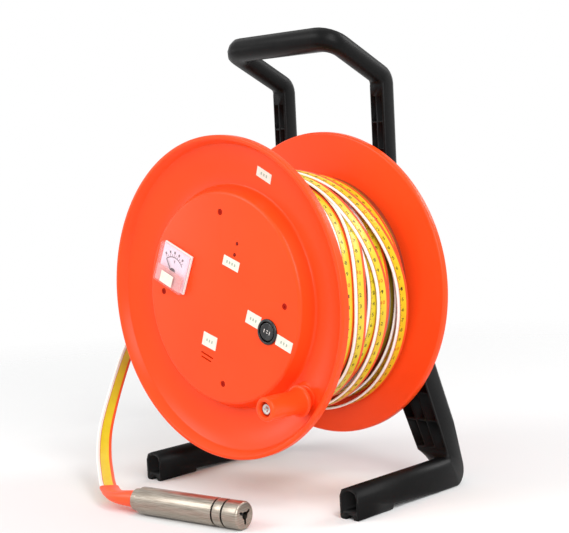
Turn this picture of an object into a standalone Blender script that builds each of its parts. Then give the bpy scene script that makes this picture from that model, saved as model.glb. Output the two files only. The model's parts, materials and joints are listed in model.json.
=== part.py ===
# A portable water level meter: a flanged reel of flat measuring tape on a moulded carrying frame,
# with the panel instruments in the front flange, a crank grip, and the probe lying on the ground.
# Metres, +Z up. Each piece is modelled about the hub axis, which runs along Y, with y = 0 on the
# front flange's lip, and then stands on the ground at hub_height.

import math

import bmesh
import bpy
from mathutils import Vector

for old in list(bpy.data.objects):
    bpy.data.objects.remove(old, do_unlink=True)

# Fits between pieces
seat_gap = 0.0003
running_gap = 0.0001
thread_gap = 0.0002

# Reel
hub_height = 0.1916
flange_radius = 0.150
annulus_width = 0.0504
lip_width = 0.0045
rim_depth = 0.0078
lip_slope_width = 0.0025
floor_outer_depth = 0.009
floor_inner_depth = 0.0172
floor_inner_inset = 0.0069
flange_wall = 0.003
disc_depth = 0.0018
disc_radius = flange_radius - annulus_width
floor_inner_radius = disc_radius + floor_inner_inset
disc_fillet = 0.004
disc_draft = 0.0035
cove = 0.0022
slot_taper = 0.2
head_flat = 0.8
back_plate_depth = 0.141
back_rim_height = 0.007
back_rim_depth = back_plate_depth + back_rim_height
back_hub_margin = 0.006
back_hub_extra = 0.002
barrel_inset = 0.0136
barrel_radius = disc_radius - barrel_inset
back_hub_radius = barrel_radius + back_hub_margin
barrel_wall = 0.004
barrel_web = 0.006
hub_tube_radius = 0.017
hub_tube_length = 0.045

# Axle and its bushes
axle_radius = 0.008
bush_wall = 0.0032
bush_flange_radius = 0.0145
bush_flange = 0.002
bush_length = 0.012
spacer_radius = 0.015
clip_radius = 0.0125
clip_thickness = 0.0018
axle_nose = 0.004
washer_thickness = 0.0016
nut_radius = 0.0145
washer_radius = 0.0155
nut_clearance = 0.0005
nut_pocket_margin = 0.0035
nut_thickness = 0.0065
thread_end = 0.002

# Fasteners of the flanges
screw_inset = 0.0061
screw_circle = barrel_radius - screw_inset
screw_turn = -3.0
screw_head_radius = 0.0027
screw_head = 0.0014
screw_radius = 0.0015
screw_length = 0.012
screw_recess = 0.0018
boss_radius = 0.0048
boss_length = 0.018
back_screw_head = 0.0018

# Wound tape
tape_width = 0.016
tape_thickness = 0.0022
packed_depth = 0.0210
packed_radius = barrel_radius + packed_depth
roll_side_gap = 0.0004
roll_steps_around = 44
roll_steps_across = 28

# The slack turns that cross each other over the packed ones: how high each lies above them, how far it
# sags at the bottom, and its front edge's depth at every eighth of a turn from the reel's right
slack_turns = [
    (0.0012, 0.0000, (0.0240, 0.0235, 0.0225, 0.0220, 0.0215, 0.0222, 0.0230, 0.0238)),
    (0.0012, 0.0000, (0.0405, 0.0420, 0.0400, 0.0395, 0.0385, 0.0392, 0.0400, 0.0410)),
    (0.0030, 0.0020, (0.0800, 0.0800, 0.0840, 0.0850, 0.0800, 0.0760, 0.0740, 0.0770)),
    (0.0014, 0.0020, (0.0965, 0.0990, 0.0985, 0.0960, 0.0970, 0.0990, 0.1000, 0.0995)),
    (0.0028, 0.0060, (0.1185, 0.1130, 0.1070, 0.1090, 0.1180, 0.1210, 0.1190, 0.1200)),
    (0.0042, 0.0030, (0.0600, 0.0740, 0.0775, 0.0700, 0.0630, 0.0640, 0.0730, 0.0710)),
    (0.0058, 0.0060, (0.0890, 0.0750, 0.0730, 0.0800, 0.0880, 0.0920, 0.0890, 0.0905)),
    (0.0076, 0.0085, (0.1150, 0.0950, 0.0790, 0.0830, 0.0940, 0.1080, 0.1200, 0.1220)),
]

# Crank
crank_inset, crank_turn = 0.02484, -44.676
grip_radius = 0.0108
grip_length = 0.048
grip_flare = 0.0016
grip_tip_radius = 0.0022
grip_flange, grip_neck, grip_shoulder = 0.002, 0.006, 0.014
grip_waist = 0.0004
grip_recess_radius = 0.0068
grip_recess = 0.007
spindle_radius = 0.003
spindle_head_radius = 0.0055
spindle_head = 0.0042
cross_reach, cross_width, cross_depth = 0.0026, 0.0012, 0.0014
crank_washer = 0.0009
crank_washer_radius = 0.0085
crank_boss_radius = 0.0135
crank_boss_depth = 0.0105
crank_bore = spindle_radius + thread_gap
crank_nut = 0.0048
crank_nut_radius = 0.0058

# Panel instruments, placed by how far in from the disc's edge they are, and by their turn about the hub
panel_turn = 21.0
meter_inset, meter_place, meter_turn = 0.033605, 155.182, 23.7
meter_size = 0.0395
meter_tray = 0.0026
meter_barrel_radius = 0.0135
meter_barrel_depth = 0.017
dial_thickness = 0.0006
cover_depth = 0.0052
cover_wall = 0.0012
cover_round = 0.0010
needle_length = 0.0150
needle_width = 0.0007
needle_lift = 0.0008
needle_thickness = 0.0005
needle_hub_radius = 0.0024
needle_pin_radius = 0.0006
needle_pin_depth = 0.003
needle_rest_turn = 45.0
pivot_below_centre = 0.0052
switch_inset, switch_place = 0.035505, -25.606
bezel_radius = 0.0117
bezel_height = 0.0016
bezel_round = 0.0010
switch_body_radius = 0.0103
switch_depth = 0.016
switch_well_radius = 0.0094
switch_well_depth = 0.0075
rocker_radius = 0.0083
rocker_height = 0.0052
rocker_hollow = 0.00044
rocker_set_back = 0.0002
rocker_pivot_depth = 0.0022
rocker_pin_radius = 0.0009
lamp_radius = 0.0015
upper_lamp_inset, upper_lamp_place = 0.043288, 64.436
lower_lamp_inset, lower_lamp_place = 0.054208, 63.435
slot_inset, slot_place = 0.038595, -113.372
slot_length, slot_width, slot_pitch = 0.0150, 0.0013, 0.0040
buzzer_radius = 0.011
buzzer_height = 0.0075
buzzer_aside, buzzer_above = 0.006, 0.004

# Circuit board and battery inside the barrel
board_width, board_thickness = 0.064, 0.0016
board_edge_gap = 0.01045
board_centre_z = -0.004
board_depth = 0.0142
post_radius = 0.0025
post_inset = 0.005
post_spacing = 0.060
battery_size = (0.0265, 0.0175, 0.0485)
holder_wall = 0.0016
battery_round = 0.0015
holder_share = 0.8
battery_z = -0.010

# Carrying frame
upright_x = 0.065
upright_half_width = 0.009
hub_boss_gap = 0.0065
upright_setback, upright_depth = 0.0065, 0.019
leg_forward, leg_behind = 0.003, 0.004
web_inset = 0.002
hub_boss_inset = 0.006
splay_outer_top, splay_inner_top = 0.016, -0.062
heel_height = 0.0326
heel_level = heel_height - hub_height
heel_inner_x, heel_outer_x = 0.0985, 0.1365
foot_x, foot_half_width = 0.1299, 0.0111
foot_height = 0.0286
foot_top = foot_height - hub_height
foot_reach = 0.137
pad_length = 0.047
pad_height = 0.0036
heel_inner_radius, heel_outer_radius = 0.004, 0.018
heel_lift_start = 0.016
bar_reach, bar_z = 0.081, 0.234
bar_half_depth, bar_half_height = 0.012, 0.010
arm_half_height = 0.0095
arm_slope = 25.6
top_inner_radius, top_outer_radius = 0.004, 0.020
grip_inner_radius, grip_outer_radius = 0.008, 0.024
channel_wall = 0.0026
channel_rib = 0.0018
channel_pitch = 0.026
channel_top = 0.182
channel_start = 0.0396
channel_bottom = channel_start - hub_height
channel_mouth = 0.006
channel_floor = 0.003
wide_leg = 0.025
bend_reach = 0.007
foot_radii = (0.0085, 0.0025)
leg_radii = (0.003, 0.005)
top_radii = (0.006, 0.007)
bar_radius = 0.008
bend_steps = 6
top_steps = 5
foot_wall = 0.0031
foot_hollow = 0.045
hollow_radii = (0.002, 0.006)
notch_radius = 0.0042
web_half_height = 0.038
web_skin = 0.003
hub_plate_radius = 0.045
hub_boss_radius = 0.020
hub_draft = 0.002
web_pocket_start = 0.024
web_pocket_inset = 0.002
web_pocket_overlap = 0.0063
hub_boss_front = back_plate_depth + flange_wall + back_hub_extra + hub_boss_gap
upright_front = hub_boss_front + upright_setback
upright_back = upright_front + upright_depth
leg_front, leg_back = upright_front - leg_forward, upright_back + leg_behind
web_front, web_back = upright_front + web_inset, upright_back - web_inset
hub_boss_back = web_back - hub_boss_inset
foot_start = leg_front - foot_reach
heel_contact = leg_front - heel_lift_start
bar_y = upright_back - bar_reach

# Probe and the boot behind it, lying on the ground in front of the frame
probe_x, probe_y = -0.0491, -0.0714
probe_turn = 7.6
probe_radius = 0.0125
probe_collar_radius = 0.0104
probe_collar = 0.008
tip_length = 0.0164
seal_width = 0.0012
seal_inset = 0.0009
ring_length = 0.0090
probe_length = 0.125
probe_tube_end = probe_length - tip_length - ring_length - 2 * seal_width - 4 * seat_gap
tip_chamfer = 0.0022
tip_bore_radius = 0.0036
tip_slot_width, tip_slot_reach, tip_slot_depth = 0.0026, 0.0080, 0.012
tip_slot_lift = 0.002
electrode_radius = 0.0022
electrode_inset = 0.003
ground_gap = 0.0002
boot_length = 0.050
boot_wall = 0.0011
edge_roundness, boot_roundness = 0.7, 0.96
heading_step = 0.002
boot_end_radius = 0.0078
tape_stations = 26
boot_stations = 9

turn_steps = 48
small_steps = 12
wide_steps = 24
bush_steps = 20

cut_clear = 0.004
chamfer = 0.0006

# The overall length runs from the crank grip's free end to the back of the legs
grip_back = crank_boss_depth - 2 * seat_gap - crank_washer
grip_front = grip_back - grip_length
shift_y = -(grip_front + leg_back) / 2


def arc(centre_r, centre_y, radius, start, end, steps):
    """Points from one angle to another, in degrees, about a centre."""
    turns = [math.radians(start + (end - start) * k / steps) for k in range(steps + 1)]
    return [(centre_r + radius * math.cos(t), centre_y + radius * math.sin(t)) for t in turns]


def lathe(profile, steps=turn_steps):
    """A profile of (radius, y) turned about Y: a closed loop, or a line from the axis to the axis."""
    verts, faces, rings = [], [], []
    for radius, y in profile:
        if radius < 1e-7:
            rings.append([len(verts)] * steps)
            verts.append((0.0, y, 0.0))
            continue
        rings.append(list(range(len(verts), len(verts) + steps)))
        for k in range(steps):
            turn = 2 * math.pi * k / steps
            verts.append((radius * math.cos(turn), y, radius * math.sin(turn)))
    loop = profile[0][0] > 1e-7 and profile[-1][0] > 1e-7
    for lower, upper in zip(rings, rings[1:] + rings[:1] if loop else rings[1:]):
        for k in range(steps):
            after = (k + 1) % steps
            face = list(dict.fromkeys((lower[k], lower[after], upper[after], upper[k])))
            if len(face) > 2:
                faces.append(face)
    return verts, faces


def rod(radius, front, back, steps=small_steps, chamfer=0.0):
    """A round bar along Y."""
    ends = [(0, front), (radius - chamfer, front), (radius, front + chamfer)]
    ends += [(radius, back - chamfer), (radius - chamfer, back), (0, back)]
    return lathe(list(dict.fromkeys(ends)), steps)


def tube(inner, outer, front, back, steps=small_steps):
    """A round sleeve along Y."""
    return lathe([(inner, front), (outer, front), (outer, back), (inner, back)], steps)


def hexagon(radius, bore, front, back):
    """A nut along Y, with a round-ish bore of twelve sides."""
    steps = 12
    flat = radius * math.cos(math.pi / 6)
    verts, faces = [], []
    for y in (front, back):
        for k in range(steps):
            turn = 2 * math.pi * k / steps
            reach = radius if k % 2 == 0 else flat
            verts.append((reach * math.cos(turn), y, reach * math.sin(turn)))
        for k in range(steps):
            turn = 2 * math.pi * k / steps
            verts.append((bore * math.cos(turn), y, bore * math.sin(turn)))
    for k in range(steps):
        after = (k + 1) % steps
        outer, inner = (k, after), (k + steps, after + steps)
        top = 2 * steps
        faces.append((outer[0], outer[1], outer[1] + top, outer[0] + top))
        faces.append((inner[1], inner[0], inner[0] + top, inner[1] + top))
        faces.append((outer[1], outer[0], inner[0], inner[1]))
        faces.append((outer[0] + top, outer[1] + top, inner[1] + top, inner[0] + top))
    return verts, faces


def loft(rings):
    """Rings of as many points each, joined in order and closed at both ends."""
    count = len(rings[0])
    verts = [tuple(point) for ring in rings for point in ring]
    faces = [list(range(count))[::-1], [len(verts) - count + k for k in range(count)]]
    for r in range(len(rings) - 1):
        for k in range(count):
            after = (k + 1) % count
            low, high = r * count, (r + 1) * count
            faces.append((low + k, low + after, high + after, high + k))
    return verts, faces


def block(low, high, bevel=0.0, segments=2):
    """A box from one corner to the other, with rounded edges."""
    bm = bmesh.new()
    bmesh.ops.create_cube(bm, size=1.0)
    for vert in bm.verts:
        vert.co = [low[i] + (vert.co[i] + 0.5) * (high[i] - low[i]) for i in range(3)]
    if bevel:
        bmesh.ops.bevel(bm, geom=bm.edges[:], offset=bevel, segments=segments, affect="EDGES")
    bm.verts.index_update()
    shape = [tuple(v.co) for v in bm.verts], [[v.index for v in f.verts] for f in bm.faces]
    bm.free()
    return shape


def moved(shape, x=0.0, y=0.0, z=0.0, turn=0.0):
    """A shape turned about Y, clockwise as the panel is read, and then moved."""
    c, s = math.cos(math.radians(turn)), math.sin(math.radians(turn))
    verts = [(x + c * a + s * b, y + depth, z - s * a + c * b) for a, depth, b in shape[0]]
    return verts, shape[1]


def joined(*shapes):
    """Several separate shapes in one mesh."""
    verts, faces = [], []
    for shape in shapes:
        base = len(verts)
        verts += list(shape[0])
        faces += [[base + k for k in face] for face in shape[1]]
    return verts, faces


def material(name, colour, roughness, metallic=0.0):
    made = bpy.data.materials.new(name)
    made.use_nodes = True
    shader = made.node_tree.nodes["Principled BSDF"]
    shader.inputs["Base Color"].default_value = (*colour, 1.0)
    shader.inputs["Roughness"].default_value = roughness
    shader.inputs["Metallic"].default_value = metallic
    return made


orange = material("orange_plastic", (0.90, 0.09, 0.02), 0.35)
black = material("black_plastic", (0.02, 0.02, 0.022), 0.5)
steel = material("steel", (0.60, 0.59, 0.57), 0.35, 1.0)
white = material("white_plastic", (0.85, 0.84, 0.80), 0.5)
clear = material("clear_plastic", (0.90, 0.85, 0.84), 0.1)
nylon = material("nylon", (0.80, 0.78, 0.70), 0.5)
yellow = material("printed_tape", (0.75, 0.58, 0.03), 0.4)
rubber = material("rubber", (0.03, 0.03, 0.03), 0.7)
board_green = material("board", (0.02, 0.16, 0.06), 0.5)
lamp_red = material("lamp", (0.5, 0.02, 0.02), 0.2)
heat_shrink = material("heat_shrink", (0.85, 0.14, 0.02), 0.45)


def empty(name, location, parent=None):
    made = bpy.data.objects.new(name, None)
    made.location = location
    made.parent = parent
    bpy.context.scene.collection.objects.link(made)
    return made


def piece(name, shape, finish, parent, at=(0, 0, 0), turn=0.0, smooth=35.0):
    """One object from a shape, with its faces outwards, placed under its parent."""
    mesh = bpy.data.meshes.new(name)
    mesh.from_pydata(shape[0], [], shape[1])
    bm = bmesh.new()
    bm.from_mesh(mesh)
    bmesh.ops.recalc_face_normals(bm, faces=bm.faces[:])
    bm.to_mesh(mesh)
    bm.free()
    mesh.materials.append(finish)
    mesh.shade_smooth()
    mesh.set_sharp_from_angle(angle=math.radians(smooth))
    made = bpy.data.objects.new(name, mesh)
    made.parent = parent
    made.location = at
    made.rotation_euler = (0, math.radians(turn), 0)
    bpy.context.scene.collection.objects.link(made)
    return made


def combine(target, name, shape, operation="DIFFERENCE"):
    """Cuts a shape from a piece, or joins it on."""
    tool = piece(name, shape, target.data.materials[0], target.parent)
    tool.hide_render = True
    tool.display_type = "WIRE"
    change = target.modifiers.new(name, "BOOLEAN")
    change.operation = operation
    change.solver = "EXACT"
    change.object = tool


def on_reel(radius, turn):
    """The x and z of a point at a radius and a turn about the hub."""
    return radius * math.cos(math.radians(turn)), radius * math.sin(math.radians(turn))


crank_x, crank_z = on_reel(flange_radius - crank_inset, crank_turn)
meter_x, meter_z = on_reel(disc_radius - meter_inset, meter_place)
switch_x, switch_z = on_reel(disc_radius - switch_inset, switch_place)
slot_centre_x, slot_centre_z = on_reel(disc_radius - slot_inset, slot_place)
lamps = {
    "indicator_lamp_upper": on_reel(disc_radius - upper_lamp_inset, upper_lamp_place),
    "indicator_lamp_lower": on_reel(disc_radius - lower_lamp_inset, lower_lamp_place),
}
board_corner = barrel_radius - barrel_wall - board_edge_gap
board_height = 2 * (math.sqrt(board_corner ** 2 - (board_width / 2) ** 2) - abs(board_centre_z))

stand = empty("stand", (0, shift_y, hub_height))
reel = empty("reel", (0, 0, 0), stand)
crank = empty("crank", (crank_x, 0, crank_z), reel)

disc_back = disc_depth + flange_wall
roll_front = floor_inner_depth + flange_wall + roll_side_gap
roll_back = back_plate_depth - roll_side_gap
barrel_front = disc_back + seat_gap
barrel_back = back_plate_depth - seat_gap


def floor_at(radius):
    """Depth of the front flange's dished floor at a radius."""
    outer = flange_radius - lip_width - lip_slope_width
    share = (radius - floor_inner_radius) / (outer - floor_inner_radius)
    return floor_inner_depth + share * (floor_outer_depth - floor_inner_depth)


def screw_places():
    """The screws on the flange, a quarter turn apart, as x and z."""
    for k in range(4):
        yield on_reel(screw_circle, 90 * k + screw_turn)


def post_places():
    """The circuit board's posts, in from its long sides."""
    for side in (-1, 1):
        for end in (-1, 1):
            yield side * (board_width / 2 - post_inset), board_centre_z + end * post_spacing / 2


def front_flange():
    floor_outer = flange_radius - lip_width - lip_slope_width
    wall_foot = disc_radius + disc_draft
    face = [(0, disc_depth)]
    face += arc(disc_radius - disc_fillet, disc_depth + disc_fillet, disc_fillet, -90, -8, 3)
    face += [(wall_foot, floor_inner_depth - cove), (wall_foot + cove / 3, floor_inner_depth - cove / 3)]
    face += [(floor_inner_radius, floor_at(floor_inner_radius)), (floor_outer, floor_outer_depth)]
    lip_round = lip_width / 4
    face += [(flange_radius - lip_width, lip_round / 2), (flange_radius - lip_width + lip_round, 0)]
    face += arc(flange_radius - lip_round, lip_round, lip_round, -90, 0, 2)
    face += [(flange_radius, rim_depth), (flange_radius - lip_width / 2, rim_depth + flange_wall / 2)]
    back = [(floor_outer, floor_outer_depth + flange_wall)]
    back += [(floor_inner_radius - 2 * chamfer, floor_inner_depth + flange_wall)]
    back += [(wall_foot - flange_wall + chamfer, floor_inner_depth + flange_wall / 2)]
    inner_corner = disc_radius - flange_wall
    back += [(inner_corner, disc_back + disc_fillet / 2), (inner_corner - disc_fillet / 2, disc_back)]
    back += [(0, disc_back)]
    made = piece("front_flange", lathe(face + back), orange, reel, smooth=40)
    overlap = flange_wall / 2
    post = rod(post_radius, disc_back - overlap, board_depth - seat_gap, small_steps)
    posts = [moved(post, x, 0, z) for x, z in post_places()]
    crank_floor = floor_at(math.hypot(crank_x, crank_z))
    boss = moved(
        rod(crank_boss_radius, crank_boss_depth, crank_floor + flange_wall - thread_gap, wide_steps),
        crank_x, 0, crank_z
    )
    combine(made, "flange_bosses", joined(*posts, boss), "UNION")
    ahead = cut_clear
    bore = rod(crank_bore, crank_boss_depth - ahead, crank_floor + flange_wall + ahead, wide_steps)
    cuts = [moved(bore, crank_x, 0, crank_z)]
    for x, z in screw_places():
        profile = [(0, disc_depth - ahead), (screw_head_radius + seat_gap, disc_depth - ahead)]
        profile += [
            (screw_head_radius + seat_gap, disc_depth + screw_recess),
            (screw_radius + thread_gap, disc_depth + screw_recess)
        ]
        profile += [(screw_radius + thread_gap, disc_back + ahead), (0, disc_back + ahead)]
        cuts.append(moved(lathe(profile, small_steps), x, 0, z))
    cuts.append(
        moved(
            rod(meter_barrel_radius + seat_gap, disc_depth - ahead, disc_back + ahead, wide_steps),
            meter_x, 0, meter_z
        )
    )
    cuts.append(
        moved(
            rod(switch_body_radius + seat_gap, disc_depth - ahead, disc_back + ahead, wide_steps),
            switch_x, 0, switch_z
        )
    )
    for x, z in lamps.values():
        cuts.append(moved(rod(lamp_radius + seat_gap, disc_depth - ahead, disc_back + ahead), x, 0, z))
    for k in (-0.5, 0.5):
        half = slot_length / 2 * (1 + slot_taper * k)
        slot = block(
            (-half, disc_depth - ahead, k * slot_pitch - slot_width / 2),
            (half, disc_back + ahead, k * slot_pitch + slot_width / 2)
        )
        cuts.append(moved(slot, slot_centre_x, 0, slot_centre_z, panel_turn))
    combine(made, "flange_cuts", joined(*cuts))


def back_flange():
    plate_back = back_plate_depth + flange_wall
    lip = flange_radius - lip_width
    bore = bush_flange_radius + 4 * seat_gap
    edge = flange_wall / 2
    profile = [(bore, back_plate_depth), (flange_radius - edge, back_plate_depth)]
    profile += [
        (flange_radius, back_plate_depth + edge), (flange_radius, back_rim_depth), (lip, back_rim_depth)
    ]
    profile += [(lip - lip_slope_width, plate_back), (back_hub_radius + flange_wall, plate_back)]
    profile += [(back_hub_radius, plate_back + back_hub_extra), (bore, plate_back + back_hub_extra)]
    made = piece("back_flange", lathe(profile), orange, reel, smooth=40)
    hub_face = plate_back + back_hub_extra
    hole = rod(screw_radius + thread_gap, back_plate_depth - cut_clear, hub_face + cut_clear)
    holes = [moved(hole, x, 0, z) for x, z in screw_places()]
    combine(made, "back_flange_holes", joined(*holes))


def drum_barrel():
    inner = barrel_radius - barrel_wall
    seat = axle_radius + running_gap + bush_wall + seat_gap
    tube_front = barrel_back - hub_tube_length
    web_face = barrel_back - barrel_web
    profile = [
        (barrel_radius, barrel_front), (barrel_radius, barrel_back), (seat, barrel_back),
        (seat, tube_front)
    ]
    profile += [
        (hub_tube_radius, tube_front), (hub_tube_radius, web_face), (inner, web_face),
        (inner, barrel_front)
    ]
    made = piece("drum_barrel", lathe(profile), orange, reel)
    bosses, holes = [], []
    for x, z in screw_places():
        bosses.append(moved(rod(boss_radius, barrel_front, barrel_front + boss_length), x, 0, z))
        bosses.append(moved(rod(boss_radius, barrel_back - boss_length, barrel_back), x, 0, z))
        hole = screw_radius + thread_gap
        holes.append(moved(rod(hole, barrel_front - cut_clear, barrel_front + screw_length), x, 0, z))
        holes.append(moved(rod(hole, barrel_back - screw_length, barrel_back + cut_clear), x, 0, z))
    combine(made, "barrel_bosses", joined(*bosses), "UNION")
    combine(made, "barrel_holes", joined(*holes))


def flange_screws():
    for number, (x, z) in enumerate(screw_places(), 1):
        head = disc_depth + screw_recess - seat_gap
        front = [
            (0, head - screw_head), (screw_head_radius * head_flat, head - screw_head),
            (screw_head_radius, head - screw_head / 2)
        ]
        front += [
            (screw_head_radius, head), (screw_radius, head), (screw_radius, head + screw_length - chamfer),
            (0, head + screw_length)
        ]
        piece(f"flange_screw_{number}", lathe(front, small_steps), steel, reel, (x, 0, z))
        face = back_plate_depth + flange_wall + back_hub_extra + seat_gap
        top = face + back_screw_head
        rear = [(0, top), (screw_head_radius * head_flat, top)]
        rear += [
            (screw_head_radius, face + back_screw_head / 2), (screw_head_radius, face),
            (screw_radius, face)
        ]
        rear += [(screw_radius, face - screw_length + chamfer), (0, face - screw_length)]
        piece(f"back_flange_screw_{number}", lathe(rear, small_steps), steel, reel, (x, 0, z))


def around(values, turn):
    """A smooth closed curve through values that are evenly spaced round a turn."""
    at = turn / (2 * math.pi) * len(values)
    k, t = math.floor(at), at - math.floor(at)
    a, b, c, d = (values[(k + n) % len(values)] for n in (-1, 0, 1, 2))
    bend = (2 * a - 5 * b + 4 * c - d) * t**2 + (3 * b - a - 3 * c + d) * t**3
    return 0.5 * (2 * b + (c - a) * t + bend)


def roll_surface(depth, turn):
    """Radius of the wound tape: the packed turns, or whichever slack turn lies highest there."""
    low = max(0.0, -math.sin(turn)) ** 2
    radius = packed_radius
    for height, sag, edges in slack_turns:
        edge = around(edges, turn)
        if edge <= depth <= edge + tape_width:
            radius = max(radius, packed_radius + height + sag * low + tape_thickness / 2)
    return radius


def wound_tape():
    inner = barrel_radius + seat_gap
    depths = [
        roll_front + (roll_back - roll_front) * k / roll_steps_across for k in range(roll_steps_across + 1)
    ]
    rings = []
    for k in range(roll_steps_around):
        turn = 2 * math.pi * k / roll_steps_around
        profile = [(inner, roll_front)] + [(roll_surface(d, turn), d) for d in depths] + [(inner, roll_back)]
        rings.append([(r * math.cos(turn), d, r * math.sin(turn)) for r, d in profile])
    count = len(rings[0])
    verts = [point for ring in rings for point in ring]
    faces = []
    for r in range(roll_steps_around):
        here, there = r * count, (r + 1) % roll_steps_around * count
        faces += [
            (here + k, here + (k + 1) % count, there + (k + 1) % count, there + k) for k in range(count)
        ]
    piece("wound_tape", (verts, faces), yellow, reel)


def hub_and_axle():
    bore = axle_radius + running_gap
    outer = bore + bush_wall
    tube_front = barrel_back - hub_tube_length
    rear_face = barrel_back + seat_gap
    sleeve = [(bore, rear_face + bush_flange), (bush_flange_radius, rear_face + bush_flange)]
    sleeve += [
        (bush_flange_radius, rear_face), (outer, rear_face), (outer, rear_face - bush_length),
        (bore, rear_face - bush_length)
    ]
    piece("hub_bush_rear", lathe(sleeve, bush_steps), nylon, reel)
    front_face = tube_front - seat_gap
    sleeve = [(bore, front_face - bush_flange), (bush_flange_radius, front_face - bush_flange)]
    sleeve += [
        (bush_flange_radius, front_face), (outer, front_face), (outer, front_face + bush_length),
        (bore, front_face + bush_length)
    ]
    piece("hub_bush_front", lathe(sleeve, bush_steps), nylon, reel)
    clip_back = front_face - bush_flange - seat_gap
    axle_front = clip_back - clip_thickness - axle_nose
    washer_back = hub_boss_back + seat_gap + washer_thickness
    nut_back = washer_back + seat_gap + nut_thickness
    piece("axle", rod(axle_radius, axle_front, nut_back + thread_end, bush_steps, chamfer), steel, stand)
    piece(
        "retaining_clip", tube(bore, clip_radius, clip_back - clip_thickness, clip_back, bush_steps),
        steel, stand
    )
    spacer_front = rear_face + bush_flange + seat_gap
    piece(
        "hub_spacer",
        tube(bore, spacer_radius, spacer_front, hub_boss_front - seat_gap, bush_steps), nylon,
        stand
    )
    piece(
        "axle_washer", tube(bore, washer_radius, hub_boss_back + seat_gap, washer_back, bush_steps),
        steel, stand
    )
    piece(
        "axle_nut", hexagon(nut_radius, axle_radius + nut_clearance, washer_back + seat_gap, nut_back), steel,
        stand, smooth=20
    )


def crank_pieces():
    recess_floor = grip_front + grip_recess
    bore = spindle_radius + seat_gap
    profile = [
        (bore, grip_back), (grip_radius + grip_flare, grip_back),
        (grip_radius + grip_flare, grip_back - grip_flange)
    ]
    profile += [(grip_radius + grip_flare / 3, grip_back - grip_neck)]
    profile += [(grip_radius - grip_waist, grip_back - grip_shoulder)]
    profile += [(grip_radius, grip_front + grip_shoulder)]
    profile += arc(grip_radius - grip_tip_radius, grip_front + grip_tip_radius, grip_tip_radius, 0, -90, 3)
    profile += [(grip_recess_radius, grip_front), (grip_recess_radius, recess_floor), (bore, recess_floor)]
    piece("crank_grip", lathe(profile, wide_steps), orange, crank)
    head_back = recess_floor - seat_gap
    nut_front = floor_at(math.hypot(crank_x, crank_z)) + flange_wall + crank_nut / 3
    end = nut_front + crank_nut + thread_end
    spindle = [(0, head_back - spindle_head), (spindle_head_radius * head_flat, head_back - spindle_head)]
    spindle += [(spindle_head_radius, head_back - spindle_head / 2), (spindle_head_radius, head_back)]
    spindle += [
        (spindle_radius, head_back), (spindle_radius, end - chamfer), (spindle_radius - chamfer, end),
        (0, end)
    ]
    made = piece("crank_spindle", lathe(spindle, wide_steps), steel, reel, (crank_x, 0, crank_z))
    socket = block(
        (-cross_reach, head_back - spindle_head - cut_clear, -cross_width / 2),
        (cross_reach, head_back - spindle_head + cross_depth, cross_width / 2)
    )
    cross = moved(socket, turn=90)
    combine(made, "spindle_slot", moved(socket, crank_x, 0, crank_z))
    combine(made, "spindle_cross", moved(cross, crank_x, 0, crank_z))
    washer_back = crank_boss_depth - seat_gap
    piece(
        "crank_washer", tube(bore, crank_washer_radius, washer_back - crank_washer, washer_back), steel,
        reel, (crank_x, 0, crank_z)
    )
    piece(
        "crank_nut", hexagon(crank_nut_radius, bore, nut_front, nut_front + crank_nut), steel, reel,
        (crank_x, 0, crank_z), smooth=20
    )


def meter():
    at = (meter_x, 0, meter_z)
    half = meter_size / 2
    tray_back = disc_depth - seat_gap
    tray_front = tray_back - meter_tray
    dial_back = tray_front - seat_gap
    dial_front = dial_back - dial_thickness
    cover_back = dial_back
    cover_front = cover_back - cover_depth
    needle_back = dial_front - needle_lift
    pin_end = tray_front + needle_pin_depth
    inner = half - cover_wall
    tray = block((-half, tray_front, -half), (half, tray_back, half), chamfer, 1)
    base = piece("meter_base", tray, white, reel, at, meter_turn)
    stub = moved(rod(meter_barrel_radius, tray_back - chamfer, tray_back + meter_barrel_depth, 32), *at)
    combine(base, "meter_barrel", stub, "UNION")
    offset = math.radians(meter_turn)
    pivot = (
        meter_x - pivot_below_centre * math.sin(offset), 0, meter_z - pivot_below_centre * math.cos(offset)
    )
    hole = moved(rod(needle_pin_radius + thread_gap, tray_front - cut_clear, pin_end + seat_gap), *pivot)
    combine(base, "pivot_hole", hole)
    plate_half = inner - seat_gap
    dial = piece(
        "meter_dial", block((-plate_half, dial_front, -plate_half), (plate_half, dial_back, plate_half)),
        white, reel, at, meter_turn
    )
    combine(
        dial, "dial_hole",
        moved(rod(needle_pin_radius + thread_gap, dial_front - cut_clear, dial_back + cut_clear), *pivot)
    )
    cover = piece(
        "meter_cover", block((-half, cover_front, -half), (half, cover_back, half), cover_round), clear,
        reel, at, meter_turn
    )
    hollow = block((-inner, cover_front + cover_wall, -inner), (inner, cover_back + cut_clear, inner))
    combine(cover, "cover_hollow", moved(hollow, *at, meter_turn))
    front = needle_back - needle_thickness
    pin = [(0, front - needle_thickness), (needle_hub_radius, front - needle_thickness)]
    pin += [(needle_hub_radius, needle_back), (needle_pin_radius, needle_back)]
    pin += [(needle_pin_radius, pin_end), (0, pin_end)]
    rest = meter_turn - needle_rest_turn
    needle = piece("meter_needle", lathe(pin, small_steps), black, reel, pivot, rest)
    blade = block(
        (-needle_width / 2, front, -needle_hub_radius * 2),
        (needle_width / 2, needle_back - running_gap, needle_length)
    )
    combine(needle, "needle_blade", moved(blade, *pivot, rest), "UNION")


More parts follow.
